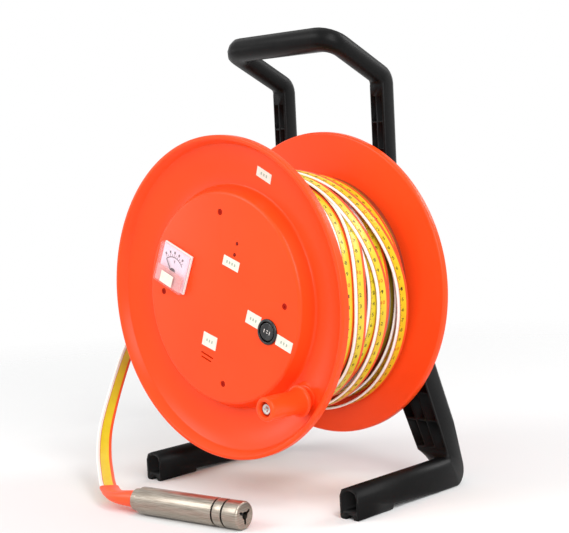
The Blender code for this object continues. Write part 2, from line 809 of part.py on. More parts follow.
def power_switch():
    at = (switch_x, 0, switch_z)
    bezel_back = disc_depth - seat_gap
    bezel_front = bezel_back - bezel_height
    well_floor = bezel_front + switch_well_depth
    profile = [(0, well_floor), (switch_well_radius, well_floor), (switch_well_radius, bezel_front)]
    profile += arc(bezel_radius - bezel_round, bezel_front + bezel_round, bezel_round, -90, 0, 2)
    profile += [
        (bezel_radius, bezel_back), (switch_body_radius, bezel_back),
        (switch_body_radius, bezel_front + switch_depth), (0, bezel_front + switch_depth)
    ]
    housing = piece("switch_housing", lathe(profile, wide_steps), black, reel, at, panel_turn)
    pivot_y = bezel_front + rocker_pivot_depth
    pin_reach = switch_well_radius + chamfer
    bearings = []
    for side in (-1, 1):
        near, far = side * (rocker_radius - chamfer), side * (pin_reach + seat_gap)
        bearings.append(pin_bar(near, far, rocker_pin_radius + thread_gap))
    combine(housing, "rocker_bearings", moved(joined(*bearings), switch_x, pivot_y, switch_z, panel_turn))
    top = bezel_front + rocker_set_back
    crown = [(0, top + rocker_hollow), (rocker_radius / 2, top + rocker_hollow / 4)]
    crown += [(rocker_radius - chamfer, top)]
    crown += [(rocker_radius, top + chamfer), (rocker_radius, top + rocker_height), (0, top + rocker_height)]
    rocker = piece(
        "switch_rocker", moved(lathe(crown, wide_steps), 0, -pivot_y, 0), black, reel,
        (switch_x, pivot_y, switch_z), panel_turn
    )
    combine(
        rocker, "rocker_pins",
        moved(pin_bar(-pin_reach, pin_reach, rocker_pin_radius), switch_x, pivot_y, switch_z, panel_turn),
        "UNION"
    )


def circle(radius, steps=12):
    """Points round a circle, evenly spaced."""
    turns = [2 * math.pi * k / steps for k in range(steps)]
    return [(radius * math.cos(turn), radius * math.sin(turn)) for turn in turns]


def pin_bar(low, high, radius):
    """A thin round bar along Z."""
    low, high = sorted((low, high))
    return loft([[(a, b, z) for a, b in circle(radius)] for z in (low, high)])


def electronics():
    low = board_centre_z - board_height / 2
    back = board_depth + board_thickness
    piece(
        "circuit_board",
        block((-board_width / 2, board_depth, low), (board_width / 2, back, low + board_height)),
        board_green, reel
    )
    for name, (x, z) in lamps.items():
        shape = arc(0, disc_depth + chamfer, lamp_radius, -90, 0, 3)
        shape += [(lamp_radius, board_depth - seat_gap), (0, board_depth - seat_gap)]
        piece(name, lathe(shape, small_steps), lamp_red, reel, (x, 0, z))
    buzzer_back = board_depth - seat_gap
    puck = rod(buzzer_radius, buzzer_back - buzzer_height, buzzer_back, wide_steps, chamfer)
    piece("buzzer", puck, black, reel, (slot_centre_x + buzzer_aside, 0, slot_centre_z + buzzer_above))
    half = [size / 2 + seat_gap for size in battery_size]
    front = back + seat_gap
    shell = [half[0] + holder_wall, half[1], half[2] + holder_wall]
    holder = piece(
        "battery_holder",
        block(
            (-shell[0], front, battery_z - shell[2]),
            (shell[0], front + 2 * half[1] * holder_share + holder_wall, battery_z + shell[2])
        ),
        black, reel
    )
    floor = front + holder_wall
    combine(
        holder, "holder_hollow",
        block(
            (-half[0], floor, battery_z - half[2]),
            (half[0], floor + 2 * half[1] + cut_clear, battery_z + half[2])
        )
    )
    low = floor + seat_gap
    size = [value / 2 for value in battery_size]
    piece(
        "battery",
        block(
            (-size[0], low, battery_z - size[2]), (size[0], low + 2 * size[1], battery_z + size[2]),
            battery_round
        ),
        steel, reel
    )


def rounded_section(half_u, half_v, inner_radius, outer_radius, steps=2):
    """A rectangle with two corner radii, one for the two corners on each of its v sides."""
    points = []
    for cu, cv, start in ((1, 1, 0), (-1, 1, 90), (-1, -1, 180), (1, -1, 270)):
        radius = outer_radius if cv > 0 else inner_radius
        for k in range(steps + 1):
            turn = math.radians(start + 90 * k / steps)
            points.append(
                (
                    cu * (half_u - radius) + radius * math.cos(turn),
                    cv * (half_v - radius) + radius * math.sin(turn)
                )
            )
    return points


def station(x, inner, outer, half_width, radii, across=(1, 0, 0)):
    """One cross-section of the frame, between an inner and an outer point of its side view."""
    inner = Vector((x, *inner))
    outer = Vector((x, *outer))
    through = (outer - inner) / 2
    middle = (inner + outer) / 2
    section = rounded_section(half_width, through.length, *radii)
    return [middle + Vector(across) * u + through.normalized() * v for u, v in section]


def leg_edges(z):
    """The x of an upright's and leg's inner and outer side at a height."""
    outer_slope = (heel_outer_x - upright_x - upright_half_width) / (splay_outer_top - heel_level)
    inner_slope = (heel_inner_x - upright_x + upright_half_width) / (splay_inner_top - heel_level)
    outer = upright_x + upright_half_width + outer_slope * max(0.0, splay_outer_top - z)
    inner = upright_x - upright_half_width + inner_slope * max(0.0, splay_inner_top - z)
    return inner, outer


def leg_faces(z):
    """The y of an upright's and leg's front and back face at a height."""
    share = min(1.0, max(0.0, (splay_outer_top - z) / (splay_outer_top - splay_inner_top)))
    front = upright_front + share * (leg_front - upright_front)
    return front, upright_back + share * (leg_back - upright_back)


def frame_stations():
    """Cross-sections from the right foot's front up to the middle of the grip bar."""
    ground = -hub_height
    pad_end = foot_start + pad_length
    rings = []
    bottoms = [
        (foot_start, ground), (pad_end, ground), (pad_end + chamfer, ground + pad_height),
        (heel_contact, ground + running_gap)
    ]
    for y, bottom in bottoms:
        rings.append(station(foot_x, (y, foot_top), (y, bottom), foot_half_width, foot_radii))
    inner_x, outer_x = leg_edges(heel_level)
    for k in range(bend_steps + 1):
        share = k / bend_steps
        turn = math.radians(90 * share)
        inner = (
            leg_front - heel_inner_radius + heel_inner_radius * math.sin(turn),
            foot_top + heel_inner_radius - heel_inner_radius * math.cos(turn)
        )
        outer = (
            leg_back - heel_outer_radius + heel_outer_radius * math.sin(turn),
            ground + heel_outer_radius - heel_outer_radius * math.cos(turn)
        )
        x = foot_x + share * ((inner_x + outer_x) / 2 - foot_x)
        half = foot_half_width + share * ((outer_x - inner_x) / 2 - foot_half_width)
        radii = (
            foot_radii[0] + share * (leg_radii[0] - foot_radii[0]),
            foot_radii[1] + share * (leg_radii[1] - foot_radii[1])
        )
        rings.append(station(x, inner, outer, half, radii))
    leg_low, leg_high = heel_level + heel_outer_radius + bend_reach, splay_inner_top - bend_reach
    heights = [leg_low + (leg_high - leg_low) * k / 2 for k in range(3)]
    splay_low, splay_high = splay_inner_top + bend_reach, splay_outer_top
    heights += [splay_low + (splay_high - splay_low) * k / 3 for k in range(4)]
    heights += [splay_outer_top + 2 * bend_reach, channel_top / 2]
    for z in heights:
        inner_x, outer_x = leg_edges(z)
        front, back = leg_faces(z)
        rings.append(
            station((inner_x + outer_x) / 2, (front, z), (back, z), (outer_x - inner_x) / 2, leg_radii)
        )
    slope = math.radians(arm_slope)
    forward = Vector((0, -math.cos(slope), math.sin(slope)))
    normal = Vector((0, math.sin(slope), math.cos(slope)))
    bar = Vector((0, bar_y, bar_z))
    outer_line, inner_line = bar + arm_half_height * normal, bar - arm_half_height * normal
    outer_y, inner_y = upright_back - top_outer_radius, upright_front - top_inner_radius
    outer_z = outer_line.z - (top_outer_radius + normal.y * (outer_y - outer_line.y)) / normal.z
    inner_z = inner_line.z - (top_inner_radius + normal.y * (inner_y - inner_line.y)) / normal.z
    for k in range(top_steps + 1):
        share = k / top_steps
        turn = math.radians((90 - arm_slope) * share)
        outer = (outer_y + top_outer_radius * math.cos(turn), outer_z + top_outer_radius * math.sin(turn))
        inner = (inner_y + top_inner_radius * math.cos(turn), inner_z + top_inner_radius * math.sin(turn))
        radii = [low + share * (high - low) for low, high in zip(leg_radii, top_radii)]
        rings.append(station(upright_x, inner, outer, upright_half_width, radii))
    inner_corner = (upright_x - upright_half_width - grip_inner_radius, -bar_half_depth - grip_inner_radius)
    outer_corner = (upright_x + upright_half_width - grip_outer_radius, bar_half_depth - grip_outer_radius)
    for k in range(bend_steps + 1):
        share = k / bend_steps
        turn = math.radians(90 * share)
        near = Vector(
            (
                inner_corner[0] + grip_inner_radius * math.cos(turn),
                inner_corner[1] + grip_inner_radius * math.sin(turn)
            )
        )
        far = Vector(
            (
                outer_corner[0] + grip_outer_radius * math.cos(turn),
                outer_corner[1] + grip_outer_radius * math.sin(turn)
            )
        )
        half_height = arm_half_height + share * (bar_half_height - arm_half_height)
        near3 = bar + Vector((near.x, 0, 0)) + forward * near.y
        far3 = bar + Vector((far.x, 0, 0)) + forward * far.y
        middle, across = (near3 + far3) / 2, (far3 - near3) / 2
        section = rounded_section(
            across.length, half_height, *[r + share * (bar_radius - r) for r in top_radii]
        )
        rings.append([middle + across.normalized() * u + normal * v for u, v in section])
    section = rounded_section(bar_half_depth, bar_half_height, bar_radius, bar_radius)
    rings.append([bar + forward * u + normal * v for u, v in section])
    return rings


def channel_pockets():
    """The pockets between the ribs, in the front of the right upright and leg."""
    count = round((channel_top - channel_bottom) / channel_pitch)
    pockets = []
    for row in range(count):
        high = channel_top - row * channel_pitch - channel_rib / 2
        low = high - channel_pitch + channel_rib
        inner, outer = leg_edges((high + low) / 2)
        columns = 2 if outer - inner < wide_leg else 3
        front, back = leg_faces((high + low) / 2)
        for column in range(columns):
            corners = []
            for z in (high, low):
                inner, outer = leg_edges(z)
                cell = (outer - inner - 2 * channel_wall + channel_rib) / columns
                left = inner + channel_wall + column * cell
                corners.append((left, left + cell - channel_rib, z))
            (a, b, high_z), (c, d, low_z) = corners
            ring = [(a, high_z), (b, high_z), (d, low_z), (c, low_z)]
            pockets.append(
                loft([[(x, y, z) for x, z in ring] for y in (front - channel_mouth, back - channel_floor)])
            )
    return pockets


def mirrored(shape):
    return [(-x, y, z) for x, y, z in shape[0]], shape[1]


def carrying_frame():
    right = frame_stations()
    left = [[Vector((-p.x, p.y, p.z)) for p in ring] for ring in right[-2::-1]]
    made = piece("frame", loft(right + left), black, stand, smooth=32)
    reach = upright_x - upright_half_width / 2
    web = block((-reach, web_front, -web_half_height), (reach, web_back, web_half_height), web_inset, 1)
    combine(made, "frame_web", web, "UNION")
    plate_back = web_back + chamfer
    hub = [
        (0, hub_boss_front), (hub_boss_radius - chamfer, hub_boss_front),
        (hub_boss_radius, hub_boss_front + chamfer)
    ]
    plate_front = web_front - web_skin
    hub += [
        (hub_boss_radius + hub_draft, plate_front), (hub_plate_radius, plate_front),
        (hub_plate_radius, plate_back)
    ]
    nut_pocket = nut_radius + nut_pocket_margin
    hub += [(0, plate_back)]
    combine(made, "frame_hub", lathe(hub, 48), "UNION")
    cuts = []
    for pocket in channel_pockets():
        cuts += [pocket, mirrored(pocket)]
    for side in (-1, 1):
        half_height = (foot_top + hub_height - pad_height - 2 * foot_wall) / 2
        middle = foot_top - foot_wall - half_height
        section = rounded_section(foot_half_width - foot_wall, half_height, *hollow_radii)
        ends = (foot_start - cut_clear, foot_start + foot_hollow)
        cuts.append(loft([[(side * foot_x + u, y, middle + v) for u, v in section] for y in ends]))
        ring = circle(notch_radius, 16)
        ends = (foot_start - cut_clear, foot_start + pad_length / 2)
        cuts.append(loft([[(side * foot_x + u, y, -hub_height + v) for u, v in ring] for y in ends]))
        for row in (-1, 1):
            near = hub_plate_radius - web_pocket_overlap
            far = upright_x - upright_half_width - web_pocket_inset
            low_x, high_x = sorted((side * near, side * far))
            low_z, high_z = sorted((row * web_pocket_start, row * (web_half_height - web_skin)))
            cuts.append(block((low_x, web_front + web_skin, low_z), (high_x, web_back + cut_clear, high_z)))
    cuts.append(lathe([
        (0, hub_boss_front - cut_clear), (axle_radius + running_gap, hub_boss_front - cut_clear),
        (axle_radius + running_gap, hub_boss_back), (nut_pocket, hub_boss_back),
        (nut_pocket, web_back + cut_clear), (0, web_back + cut_clear),
    ], 48))
    combine(made, "frame_cuts", joined(*cuts))


# The free tape's route, from the roll to the boot, and on to the probe's rear
tape_route = [
    (-0.0585, 0.0500, 0.0943),
    (-0.0760, 0.0480, 0.0809),
    (-0.0940, 0.0450, 0.0590),
    (-0.1290, 0.0400, 0.0080),
    (-0.1560, 0.0345, -0.0330),
    (-0.1735, 0.0270, -0.0690),
    (-0.1745, 0.0080, -0.1080),
    (-0.1650, -0.0120, -0.1370),
    (-0.1470, -0.0300, -0.1570),
    (-0.1215, -0.0490, -0.1690),
    (-0.0975, -0.0650, -0.1755),
    (-0.0739, -0.0745, -0.1786),
    (-0.0491, -0.0714, -0.1789),
]


def probe_heading():
    turn = math.radians(probe_turn)
    return Vector((math.cos(turn), math.sin(turn), 0))


def smooth_route(points, last_heading, per_span=8):
    """A curve through the points that ends along a heading, as closely spaced points."""
    ends = [2 * Vector(points[0]) - Vector(points[1])] + [Vector(p) for p in points]
    ends.append(ends[-2] + 2 * (ends[-1] - ends[-2]).length * last_heading)
    curve = []
    for a, b, c, d in zip(ends, ends[1:], ends[2:], ends[3:]):
        for k in range(per_span):
            t = k / per_span
            bend = (2 * a - 5 * b + 4 * c - d) * t**2 + (3 * b - a - 3 * c + d) * t**3
            curve.append(0.5 * (2 * b + (c - a) * t + bend))
    return curve + [ends[-2]]


def free_tape_and_boot():
    curve = smooth_route(tape_route, probe_heading())
    along = [0.0]
    for before, after in zip(curve, curve[1:]):
        along.append(along[-1] + (after - before).length)
    total = along[-1]
    across = Vector((0, 1, 0))

    def at(distance):
        k = next(n for n in range(1, len(along)) if along[n] >= distance or n == len(along) - 1)
        share = (distance - along[k - 1]) / (along[k] - along[k - 1])
        return curve[k - 1].lerp(curve[k], share)

    def ring(distance, half_width, half_thickness, radius, corner_steps):
        ahead, behind = at(min(distance + heading_step, total)), at(max(distance - heading_step, 0.0))
        heading = (ahead - behind).normalized()
        if distance == total:
            heading = probe_heading()
        wide = (across - across.dot(heading) * heading).normalized()
        thick = heading.cross(wide)
        section = rounded_section(half_width, half_thickness, radius, radius, corner_steps)
        return [at(distance) + wide * u + thick * v for u, v in section]

    tape_end = total - boot_length - seat_gap
    half_width, half_thickness = tape_width / 2, tape_thickness / 2
    tape = []
    for k in range(tape_stations + 1):
        edge = half_thickness * edge_roundness
        tape.append(ring(tape_end * k / tape_stations, half_width, half_thickness, edge, 1))
    piece("free_tape", loft(tape), yellow, stand)
    boot = []
    for k in range(boot_stations + 1):
        share = k / boot_stations
        ease = share * share * (3 - 2 * share)
        wide = half_width + boot_wall + ease * (boot_end_radius - half_width - boot_wall)
        thick = half_thickness + boot_wall + ease * (boot_end_radius - half_thickness - boot_wall)
        distance = total if share == 1 else total - boot_length + share * boot_length
        boot.append(ring(distance, wide, thick, min(wide, thick) * boot_roundness, 3))
    piece("tape_boot", loft(boot), heat_shrink, stand)


def probe_piece(name, profile, finish, cuts=(), steps=32):
    """A turned piece of the probe: its profile runs along the probe from the rear."""
    heading = probe_heading()
    side = Vector((-heading.y, heading.x, 0))
    rear = Vector((probe_x, probe_y, -hub_height + probe_radius + ground_gap))

    def lay(shape):
        return [tuple(rear + heading * y + side * x + Vector((0, 0, z))) for x, y, z in shape[0]], shape[1]

    made = piece(name, lay(lathe(profile, steps)), finish, stand)
    if cuts:
        combine(made, name + "_cuts", lay(joined(*cuts)))


def probe():
    start = seat_gap
    inner = probe_radius - seal_inset - seat_gap
    tube_profile = [(0, start), (probe_collar_radius - chamfer, start)]
    tube_profile += [(probe_collar_radius, start + chamfer), (probe_collar_radius, probe_collar)]
    tube_profile += [(probe_radius - chamfer, probe_collar), (probe_radius, probe_collar + chamfer)]
    tube_profile += [
        (probe_radius, probe_tube_end - chamfer), (probe_radius - chamfer, probe_tube_end),
        (0, probe_tube_end)
    ]
    probe_piece("probe_tube", tube_profile, steel)
    seal_start = probe_tube_end + seat_gap
    probe_piece(
        "probe_seal_rear",
        [
            (0, seal_start), (inner, seal_start), (inner, seal_start + seal_width),
            (0, seal_start + seal_width)
        ],
        rubber, steps=32
    )
    ring_start = seal_start + seal_width + seat_gap
    ring_end = ring_start + ring_length
    ring = [(0, ring_start), (probe_radius - chamfer, ring_start), (probe_radius, ring_start + chamfer)]
    ring += [(probe_radius, ring_end - chamfer), (probe_radius - chamfer, ring_end), (0, ring_end)]
    probe_piece("probe_ring", ring, steel)
    seal_start = ring_end + seat_gap
    probe_piece(
        "probe_seal_front",
        [
            (0, seal_start), (inner, seal_start), (inner, seal_start + seal_width),
            (0, seal_start + seal_width)
        ],
        rubber, steps=32
    )
    tip_start = seal_start + seal_width + seat_gap
    bore_floor = probe_length - tip_slot_depth
    tip = [(0, tip_start), (probe_radius - chamfer, tip_start), (probe_radius, tip_start + chamfer)]
    tip += [
        (probe_radius, probe_length - tip_chamfer), (probe_radius - tip_chamfer, probe_length),
        (tip_bore_radius, probe_length), (tip_bore_radius, bore_floor), (0, bore_floor)
    ]
    slots = []
    for k in range(3):
        slot = block(
            (-tip_slot_width / 2, bore_floor + tip_slot_lift, tip_bore_radius / 2),
            (tip_slot_width / 2, probe_length + cut_clear, tip_slot_reach)
        )
        slots.append(moved(slot, turn=60 + 120 * k))
    probe_piece("probe_tip", tip, steel, slots)
    electrode_start = bore_floor + seat_gap
    electrode_end = probe_length - electrode_inset
    probe_piece(
        "probe_electrode",
        [
            (0, electrode_start), (electrode_radius, electrode_start),
            (electrode_radius, electrode_end - chamfer), (electrode_radius - chamfer, electrode_end),
            (0, electrode_end)
        ],
        steel, steps=12
    )


front_flange()
back_flange()
drum_barrel()
flange_screws()
wound_tape()
hub_and_axle()
crank_pieces()
meter()
power_switch()
electronics()
carrying_frame()
free_tape_and_boot()
probe()
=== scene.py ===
import json
import math

import bmesh
import bpy
from mathutils import Matrix, Vector


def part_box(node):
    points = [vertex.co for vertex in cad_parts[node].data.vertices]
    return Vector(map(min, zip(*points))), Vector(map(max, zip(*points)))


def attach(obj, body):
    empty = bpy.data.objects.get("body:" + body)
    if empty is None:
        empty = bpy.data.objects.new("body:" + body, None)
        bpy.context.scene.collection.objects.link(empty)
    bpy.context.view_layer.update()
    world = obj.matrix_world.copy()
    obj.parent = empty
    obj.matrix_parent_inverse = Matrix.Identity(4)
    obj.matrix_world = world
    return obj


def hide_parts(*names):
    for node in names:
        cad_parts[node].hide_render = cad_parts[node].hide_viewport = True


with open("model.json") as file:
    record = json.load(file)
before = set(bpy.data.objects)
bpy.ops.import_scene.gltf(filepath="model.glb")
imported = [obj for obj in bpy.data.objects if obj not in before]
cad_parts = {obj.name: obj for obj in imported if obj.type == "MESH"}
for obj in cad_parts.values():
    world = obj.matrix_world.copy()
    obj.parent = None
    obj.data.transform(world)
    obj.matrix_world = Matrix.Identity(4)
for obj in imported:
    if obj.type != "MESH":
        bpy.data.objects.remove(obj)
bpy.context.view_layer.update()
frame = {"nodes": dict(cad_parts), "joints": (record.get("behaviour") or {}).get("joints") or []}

# The reel's own frame: y is 0 on the front flange's lip, and x and z are 0 on the hub axis
jointAt = {joint["name"]: Vector(joint["pos_m"]) for joint in frame["joints"]}
hubZ = jointAt["reel_spin"].z
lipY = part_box("front_flange")[0].y
scene = bpy.context.scene


def inReel(x, y, z):
    return Vector((x, y + lipY, z + hubZ))


def frontOf(node):
    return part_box(node)[0].y - lipY


def backOf(node):
    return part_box(node)[1].y - lipY


# Camera and lamps

cameraSettings = {
    "azimuth": 43.73, "elevation": 4.66, "roll": -2.83,
    "place": (0.8640, -0.8153, 0.1235), "lens": 82.08, "sensor": 36,
}


def makeCamera(s):
    azimuth = math.radians(s["azimuth"])
    elevation = math.radians(s["elevation"])
    roll = math.radians(s["roll"])
    level = math.cos(elevation)
    back = Vector((math.sin(azimuth) * level, -math.cos(azimuth) * level, math.sin(elevation)))
    right = Vector((math.cos(azimuth), math.sin(azimuth), 0))
    up = back.cross(right)
    across = right * math.cos(roll) + up * math.sin(roll)
    above = up * math.cos(roll) - right * math.sin(roll)
    data = bpy.data.cameras.new("camera")
    data.sensor_width = s["sensor"]
    data.lens = s["lens"]
    made = bpy.data.objects.new("camera", data)
    turn = Matrix((across, above, back)).transposed().to_4x4()
    made.matrix_world = Matrix.Translation(inReel(*s["place"])) @ turn
    scene.collection.objects.link(made)
    scene.camera = made


lampSettings = {
    "keyLamp": {"place": (-1.0, -1.8, 1.6), "size": 1.2, "power": 21, "target": (0, 0, 0.2)},
    "fillLamp": {"place": (2.0, -1.1, 1.2), "size": 1.4, "power": 33, "target": (0, 0, 0.2)},
    "edgeLamp": {"place": (1.28, -0.36, 1.7), "size": 0.4, "power": 7, "target": (0, 0, 0.2)},
    "rimLamp": {"place": (0.9, 1.6, 1.4), "size": 0.8, "power": 13, "target": (0, 0, 0.25)},
    "lowLamp": {"place": (-1.5, -0.9, 0.35), "size": 0.3, "power": 1.6, "target": (0, 0, 0.15)},
}


def makeLamps(settings):
    for name, s in settings.items():
        data = bpy.data.lights.new(name, "AREA")
        data.energy = s["power"]
        data.size = s["size"]
        made = bpy.data.objects.new(name, data)
        place = Vector(s["place"])
        turn = (place - Vector(s["target"])).to_track_quat("Z", "Y").to_matrix().to_4x4()
        made.matrix_world = Matrix.Translation(place) @ turn
        scene.collection.objects.link(made)


# Node trees: a wire is a socket that knows the tree that it belongs to

class Wire:
    def __init__(self, graph, socket):
        self.graph = graph
        self.socket = socket

    def maths(self, operation, *values):
        return self.graph.add("ShaderNodeMath", {"operation": operation}, values)

    def output(self, name):
        return Wire(self.graph, self.socket.node.outputs[name])

    def ramp(self, low, high):
        return self.graph.add("ShaderNodeMapRange", {"clamp": True}, {0: self, 1: low, 2: high})

    def __add__(self, other):
        return self.maths("ADD", self, other)

    def __radd__(self, other):
        return self.maths("ADD", other, self)

    def __sub__(self, other):
        return self.maths("SUBTRACT", self, other)

    def __rsub__(self, other):
        return self.maths("SUBTRACT", other, self)

    def __mul__(self, other):
        return self.maths("MULTIPLY", self, other)

    def __rmul__(self, other):
        return self.maths("MULTIPLY", other, self)

    def __truediv__(self, other):
        return self.maths("DIVIDE", self, other)

    def __rtruediv__(self, other):
        return self.maths("DIVIDE", other, self)

    def __mod__(self, other):
        return self.maths("FLOORED_MODULO", self, other)

    def __rmod__(self, other):
        return self.maths("FLOORED_MODULO", other, self)

    def __pow__(self, other):
        return self.maths("POWER", self, other)

    def __rpow__(self, other):
        return self.maths("POWER", other, self)

    def __abs__(self):
        return self.maths("ABSOLUTE", self)

    def __gt__(self, other):
        return self.maths("GREATER_THAN", self, other)

    def __lt__(self, other):
        return self.maths("LESS_THAN", self, other)


class Graph:
    def fill(self, socket, value):
        if isinstance(value, Wire):
            self.tree.links.new(value.socket, socket)
        elif isinstance(value, (tuple, list)) and len(value) == 3 and socket.type == "RGBA":
            socket.default_value = (*value, 1)
        else:
            socket.default_value = value

    def add(self, kind, settings=None, values=None, output=0):
        node = self.tree.nodes.new(kind)
        for key, value in (settings or {}).items():
            setattr(node, key, value)
        pairs = values.items() if isinstance(values, dict) else enumerate(values or [])
        for key, value in pairs:
            for one in value if isinstance(value, list) else [value]:
                self.fill(node.inputs[key], one)
        return Wire(self, node.outputs[output])


# A material under construction. Constants are set on the shader's own sockets.
class Look(Graph):
    def __init__(self, name, **sockets):
        self.material = bpy.data.materials.new(name)
        self.material.use_nodes = True
        self.tree = self.material.node_tree
        self.shader = self.tree.nodes["Principled BSDF"]
        self.solid = Wire(self, self.shader.outputs["BSDF"])
        for socket, value in sockets.items():
            self.shader.inputs[socket.replace("_", " ")].default_value = value

    def place(self, scale=(1, 1, 1), turn=(0, 0, 0)):
        here = self.add("ShaderNodeTexCoord", output="Object")
        return self.add("ShaderNodeMapping", {}, {"Vector": here, "Rotation": turn, "Scale": scale})

    def noise(self, scale, detail=3, at=None):
        values = {"Scale": scale, "Detail": detail, "Vector": at or self.place()}
        return self.add("ShaderNodeTexNoise", {}, values)

    def mix(self, share, low, high):
        return self.add("ShaderNodeMix", {"data_type": "RGBA"}, {0: share, 6: low, 7: high}, 2)

    def bump(self, height, strength, distance):
        values = {"Strength": strength, "Distance": distance, "Height": height}
        return self.add("ShaderNodeBump", {}, values)

    def finish(self, **links):
        for socket, wire in links.items():
            self.fill(self.shader.inputs[socket.replace("_", " ")], wire)
        return self.material

    # The surface as a mix of two shaders
    def mixed(self, share, first, second):
        both = self.add("ShaderNodeMixShader", {}, {0: share, 1: first, 2: second})
        self.fill(self.tree.nodes["Material Output"].inputs["Surface"], both)
        return self.material


# A Geometry Nodes tree under construction, with named inputs
class Shaping(Graph):
    def __init__(self, name, inputs):
        self.tree = bpy.data.node_groups.new(name, "GeometryNodeTree")
        sockets = self.tree.interface
        sockets.new_socket("Geometry", in_out="INPUT", socket_type="NodeSocketGeometry")
        for label, kind in inputs.items():
            sockets.new_socket(label, in_out="INPUT", socket_type="NodeSocket" + kind)
        sockets.new_socket("Geometry", in_out="OUTPUT", socket_type="NodeSocketGeometry")
        self.entry = self.tree.nodes.new("NodeGroupInput")
        self.exit = self.tree.nodes.new("NodeGroupOutput")

    def given(self, label):
        return Wire(self, self.entry.outputs[label])

    def named(self, name, kind):
        return self.add("GeometryNodeInputNamedAttribute", {"data_type": kind}, {"Name": name})

    def stored(self, geometry, name, kind, domain, value):
        settings = {"data_type": kind, "domain": domain}
        values = {"Geometry": geometry, "Name": name, "Value": value}
        return self.add("GeometryNodeStoreNamedAttribute", settings, values)

    def curveOf(self, label):
        solid = self.add("GeometryNodeObjectInfo", {}, {"Object": self.given(label)}, "Geometry")
        return self.add("GeometryNodeMeshToCurve", {}, {"Mesh": solid})

    def painted(self, geometry, label):
        values = {"Geometry": geometry, "Material": self.given(label)}
        return self.add("GeometryNodeSetMaterial", {}, values)

    def finish(self, geometry):
        self.fill(self.exit.inputs["Geometry"], geometry)
        return self.tree


# Colours and finishes

def fromScreen(red, green, blue):
    shares = (red / 255, green / 255, blue / 255)
    return tuple(v / 12.92 if v <= 0.04045 else ((v + 0.055) / 1.055) ** 2.4 for v in shares)


# In a look's settings a noise has a scale and a detail, and a relief has a strength and a distance

orangeLook = {
    "specular": 0.22, "deep": fromScreen(252, 74, 24), "bright": fromScreen(255, 80, 28), "cloud": (9, 2),
    "levels": (0.3, 0.75), "pebble": (1400, 2), "wave": (38, 2), "pebbleShare": 0.25,
    "relief": (0.10, 0.0008), "roughness": 0.25, "spread": 0.14,
}
blackLook = {
    "specular": 0.12, "deep": (0.0030, 0.0030, 0.0032), "worn": (0.0065, 0.0063, 0.0061), "cloud": (24, 3),
    "speck": (420, 4), "cloudShare": 0.6, "speckShare": 0.4, "levels": (0.45, 0.72), "pebble": (2300, 2),
    "relief": (0.12, 0.0004), "roughness": 0.27, "spread": 0.2,
}
steelLook = {
    "deep": (0.24, 0.20, 0.16), "bright": (0.46, 0.41, 0.35), "scale": (60, 60, 2600), "marks": (1, 3),
    "broad": (30, 2), "levels": (0.3, 0.7), "relief": (0.12, 0.0003), "roughness": 0.24, "spread": 0.16,
    "broadSpread": 0.06,
}
plainLook = {
    "detail": 3, "shade": 0.86, "levels": (0.3, 0.7), "relief": (0.08, 0.0003), "below": 0.06,
    "spread": 0.12,
}


def orangePlastic(name, s):
    look = Look(name, Specular_IOR_Level=s["specular"])
    cloud = look.noise(*s["cloud"])
    colour = look.mix(cloud.ramp(*s["levels"]), s["deep"], s["bright"])
    pebble = look.noise(*s["pebble"])
    wave = look.noise(*s["wave"])
    relief = look.bump(pebble * s["pebbleShare"] + wave, *s["relief"])
    rough = s["roughness"] + cloud * s["spread"]
    return look.finish(Base_Color=colour, Roughness=rough, Normal=relief)


def blackPlastic(name, s):
    look = Look(name, Specular_IOR_Level=s["specular"])
    cloud = look.noise(*s["cloud"])
    speck = look.noise(*s["speck"])
    wear = (cloud * s["cloudShare"] + speck * s["speckShare"]).ramp(*s["levels"])
    colour = look.mix(wear, s["deep"], s["worn"])
    pebble = look.noise(*s["pebble"])
    relief = look.bump(pebble + cloud * s["cloudShare"], *s["relief"])
    rough = s["roughness"] + cloud * s["spread"]
    return look.finish(Base_Color=colour, Roughness=rough, Normal=relief)


# Fine lathe marks lie round an axis: the turn lays Z along it
def turnedSteel(name, s, turn):
    look = Look(name, Metallic=1.0)
    marks = look.noise(*s["marks"], look.place(s["scale"], turn))
    broad = look.noise(*s["broad"])
    colour = look.mix(marks.ramp(*s["levels"]), s["deep"], s["bright"])
    rough = s["roughness"] + marks * s["spread"] + broad * s["broadSpread"]
    return look.finish(Base_Color=colour, Roughness=rough, Normal=look.bump(marks, *s["relief"]))


def plainFinish(name, colour, roughness=0.45, metallic=0.0, grain=700, specular=0.5):
    s = plainLook
    look = Look(name, Metallic=metallic, Specular_IOR_Level=specular)
    fine = look.noise(grain, s["detail"])
    shade = tuple(c * s["shade"] for c in colour)
    tint = look.mix(fine.ramp(*s["levels"]), shade, colour)
    rough = roughness - s["below"] + fine * s["spread"]
    return look.finish(Base_Color=tint, Roughness=rough, Normal=look.bump(fine, *s["relief"]))


# The tape's print is read along its own map: metres along in u, the share of the width in v

